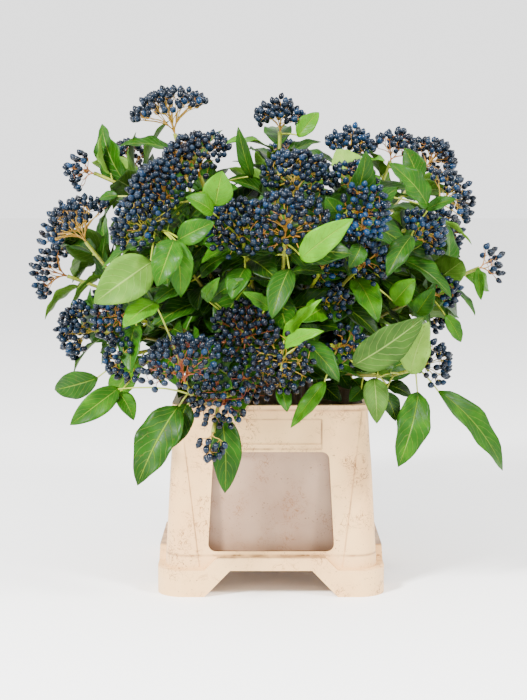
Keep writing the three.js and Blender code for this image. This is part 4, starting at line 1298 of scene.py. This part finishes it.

# %% [markdown]
# Moulded polypropylene has a soft satin gloss and a fine spark-eroded grain. A bucket that comes back from
# many flower sales is stained: brown specks and scratches on the faces. Its creases are darkened with painted
# shade and some dirt, and the tub's wall behind the windows is a darker, pinker copy of the plastic as painted
# shade.

# %% Bucket finishes
def creases(skin):
    """Where painted shade, with some dirt, darkens the bucket: under the rim, on the ledge, round the label
    slot and along the panels.
    """
    at = skin.put("ShaderNodeSeparateXYZ", {0: skin.place}).outputs
    x, y, z = skin.maths("ABSOLUTE", at["X"]), skin.maths("ABSOLUTE", at["Y"]), at["Z"]

    def near(value, place_mm, width_mm):
        off = skin.maths("ABSOLUTE", skin.maths("SUBTRACT", value, place_mm * MM))
        return skin.between(off, 0.0, width_mm * MM, 1.0, 0.0)

    def either(a, b):
        return skin.maths("MAXIMUM", a, b)

    def both(a, b):
        return skin.maths("MULTIPLY", a, b)

    def only(value, low_mm, high_mm):
        above = skin.maths("GREATER_THAN", value, low_mm * MM)
        return both(above, skin.maths("LESS_THAN", value, high_mm * MM))

    ends = both(near(x, LABEL["half"], 1.6), only(z, LABEL["low"], LABEL["high"]))
    long = either(near(z, LABEL["low"], 1.8), near(z, LABEL["high"], 1.4))
    slot = either(ends, both(long, only(x, -1, LABEL["half"])))
    # a panel's edge leans out as it rises
    lean = (PANEL["high"] - PANEL["low"]) / (PANEL["top"] - PANEL["foot"])
    above_foot = skin.maths("SUBTRACT", z, PANEL["foot"] * MM)
    upright = skin.maths("MULTIPLY_ADD", above_foot, -lean, skin.maths("MINIMUM", x, y))
    panels = both(near(upright, PANEL["low"], 1.3), only(z, WINDOW["low"], PANEL["top"]))
    rims = either(near(z, RIM["z"] - RIM["deep"], 2.2), near(z, ARCH["band_top"], 2.0))
    return either(either(slot, rims), both(panels, 0.7))


def stained_and_shaded_plastic(name, body_colour, cloud, cloud_share):
    skin = Finish(name, IOR=1.49, Specular_IOR_Level=0.45)
    maths, between, noise = skin.maths, skin.between, skin.noise
    # clouds of stain about 60 mm wide, specks of 2 mm and scribbled scratches gathered in 30 mm patches
    colour = skin.blend(linear(body_colour), cloud, between(noise(60, 4.0), 0.35, 0.7, 0.0, cloud_share))
    scribble = maths("ABSOLUTE", maths("SUBTRACT", noise(9, 5.0, 1.2), 0.5))
    scribble = between(scribble, 0.006, 0.024, 1.0, 0.0)
    scratch = maths("MULTIPLY", scribble, between(noise(30, 2.0), 0.48, 0.62))
    colour = skin.blend(colour, "#74491f", maths("MULTIPLY", scratch, 0.85))
    speck = maths("MULTIPLY", between(noise(2.4, 2.0), 0.65, 0.71), between(noise(24, 2.0), 0.46, 0.58))
    colour = skin.blend(colour, "#573412", maths("MULTIPLY", speck, 0.85))
    # painted shade with some dirt: a dark brown in the creases, broken into patches about 16 mm wide
    crease_shade_and_grime = maths("MULTIPLY", creases(skin), between(noise(16, 3.0), 0.3, 0.65, 0.15, 0.8))
    skin.give("Base Color", skin.blend(colour, "#623c1c", crease_shade_and_grime))
    skin.give("Roughness", between(noise(12, 4.0), 0.3, 0.7, 0.36, 0.52))
    # the mould's grain, 0.8 mm, drawn as coarse as the render can show
    skin.bump(noise(0.8, 2.0), 0.12, 0.15)
    return skin.made


bucket.data.materials.clear()
bucket.data.materials.append(stained_and_shaded_plastic("moulded_polypropylene_cream", "#e2b87e", "#ca935a", 0.5))
# painted shade: the tub's wall, which sits in shade behind the windows, gets a darker, pinker copy of the
# plastic
bucket.data.materials.append(stained_and_shaded_plastic("moulded_polypropylene_tub_wall_painted_shade", "#9c7f66", "#80614a", 0.9))
for face in bucket.data.polygons:
    x, y, z = (abs(c) / MM for c in face.center)
    in_tub = max(x, y) < tub_at(z) + TUB["thick"] + 0.3 and z < RIM["z"] - 10
    face.material_index = 1 if in_tub else 0
pieces.append((bucket, "bucket_plastic", ["bucket"]))
print([m.name for m in bucket.data.materials])

# %% [markdown]
# ## Water
# The cut stems stand in clear water a few centimetres deep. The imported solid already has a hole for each
# stem, so it stays and only gets the look of water, with a faint green from the sap.

# %% Water finish
skin = Finish(
    "clear_tap_water", IOR=1.33, Transmission_Weight=1.0, Roughness=0.02, Base_Color=linear("#e3efe8")
)
# a faint ripple, 30 mm from crest to crest
skin.bump(skin.noise(30, 1.0), 0.2, 0.5)
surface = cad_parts["water"]
surface.data.materials.clear()
surface.data.materials.append(skin.made)
print(skin.made.name)

# %% [markdown]
# ## Floor and light
# The photograph is a studio cut-out: white all round, with a soft grey shadow under the bucket. A plain pale
# floor under a bright even sky gives that, and two large softboxes above give the berries their highlights.

# %% Stage
FLOOR_HALF = 20000
far = [(x * FLOOR_HALF, y * FLOOR_HALF, 0) for x, y in ((-1, -1), (1, -1), (1, 1), (-1, 1))]
floor = mesh_object("floor", far, (), [(0, 1, 2, 3)])
floor.data.materials.append(Finish("studio_paper", Roughness=0.9, Base_Color=linear("#f5f5f4")).made)

world = bpy.data.worlds.new("white_studio")
world.use_nodes = True
world.node_tree.nodes["Background"].inputs["Color"].default_value = (1, 1, 1, 1)
world.node_tree.nodes["Background"].inputs["Strength"].default_value = 2.2
bpy.context.scene.world = world


def softbox(name, at, look_at, size, power):
    light = bpy.data.lights.new(name, "AREA")
    light.shape, light.size, light.energy = "SQUARE", size, power
    box = bpy.data.objects.new(name, light)
    box.location = at
    box.rotation_euler = (Vector(look_at) - Vector(at)).to_track_quat("-Z", "Y").to_euler()
    bpy.context.scene.collection.objects.link(box)


softbox("softbox_left", (-1.3, -1.6, 1.8), (0, 0, 0.35), 0.4, 230)
softbox("softbox_right", (1.4, -1.2, 1.5), (0, 0, 0.35), 0.4, 80)
print("stage set")

# %% [markdown]
# ## Joining the model
# Nothing on the bunch moves, so every piece rides on the one body. The fine pieces take the places of the
# packed ones.

# %% Riding and replacing
for piece, slot_name, nodes in pieces:
    if nodes:
        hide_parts(*nodes)
    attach(piece, "root")
print(len(pieces), "pieces")
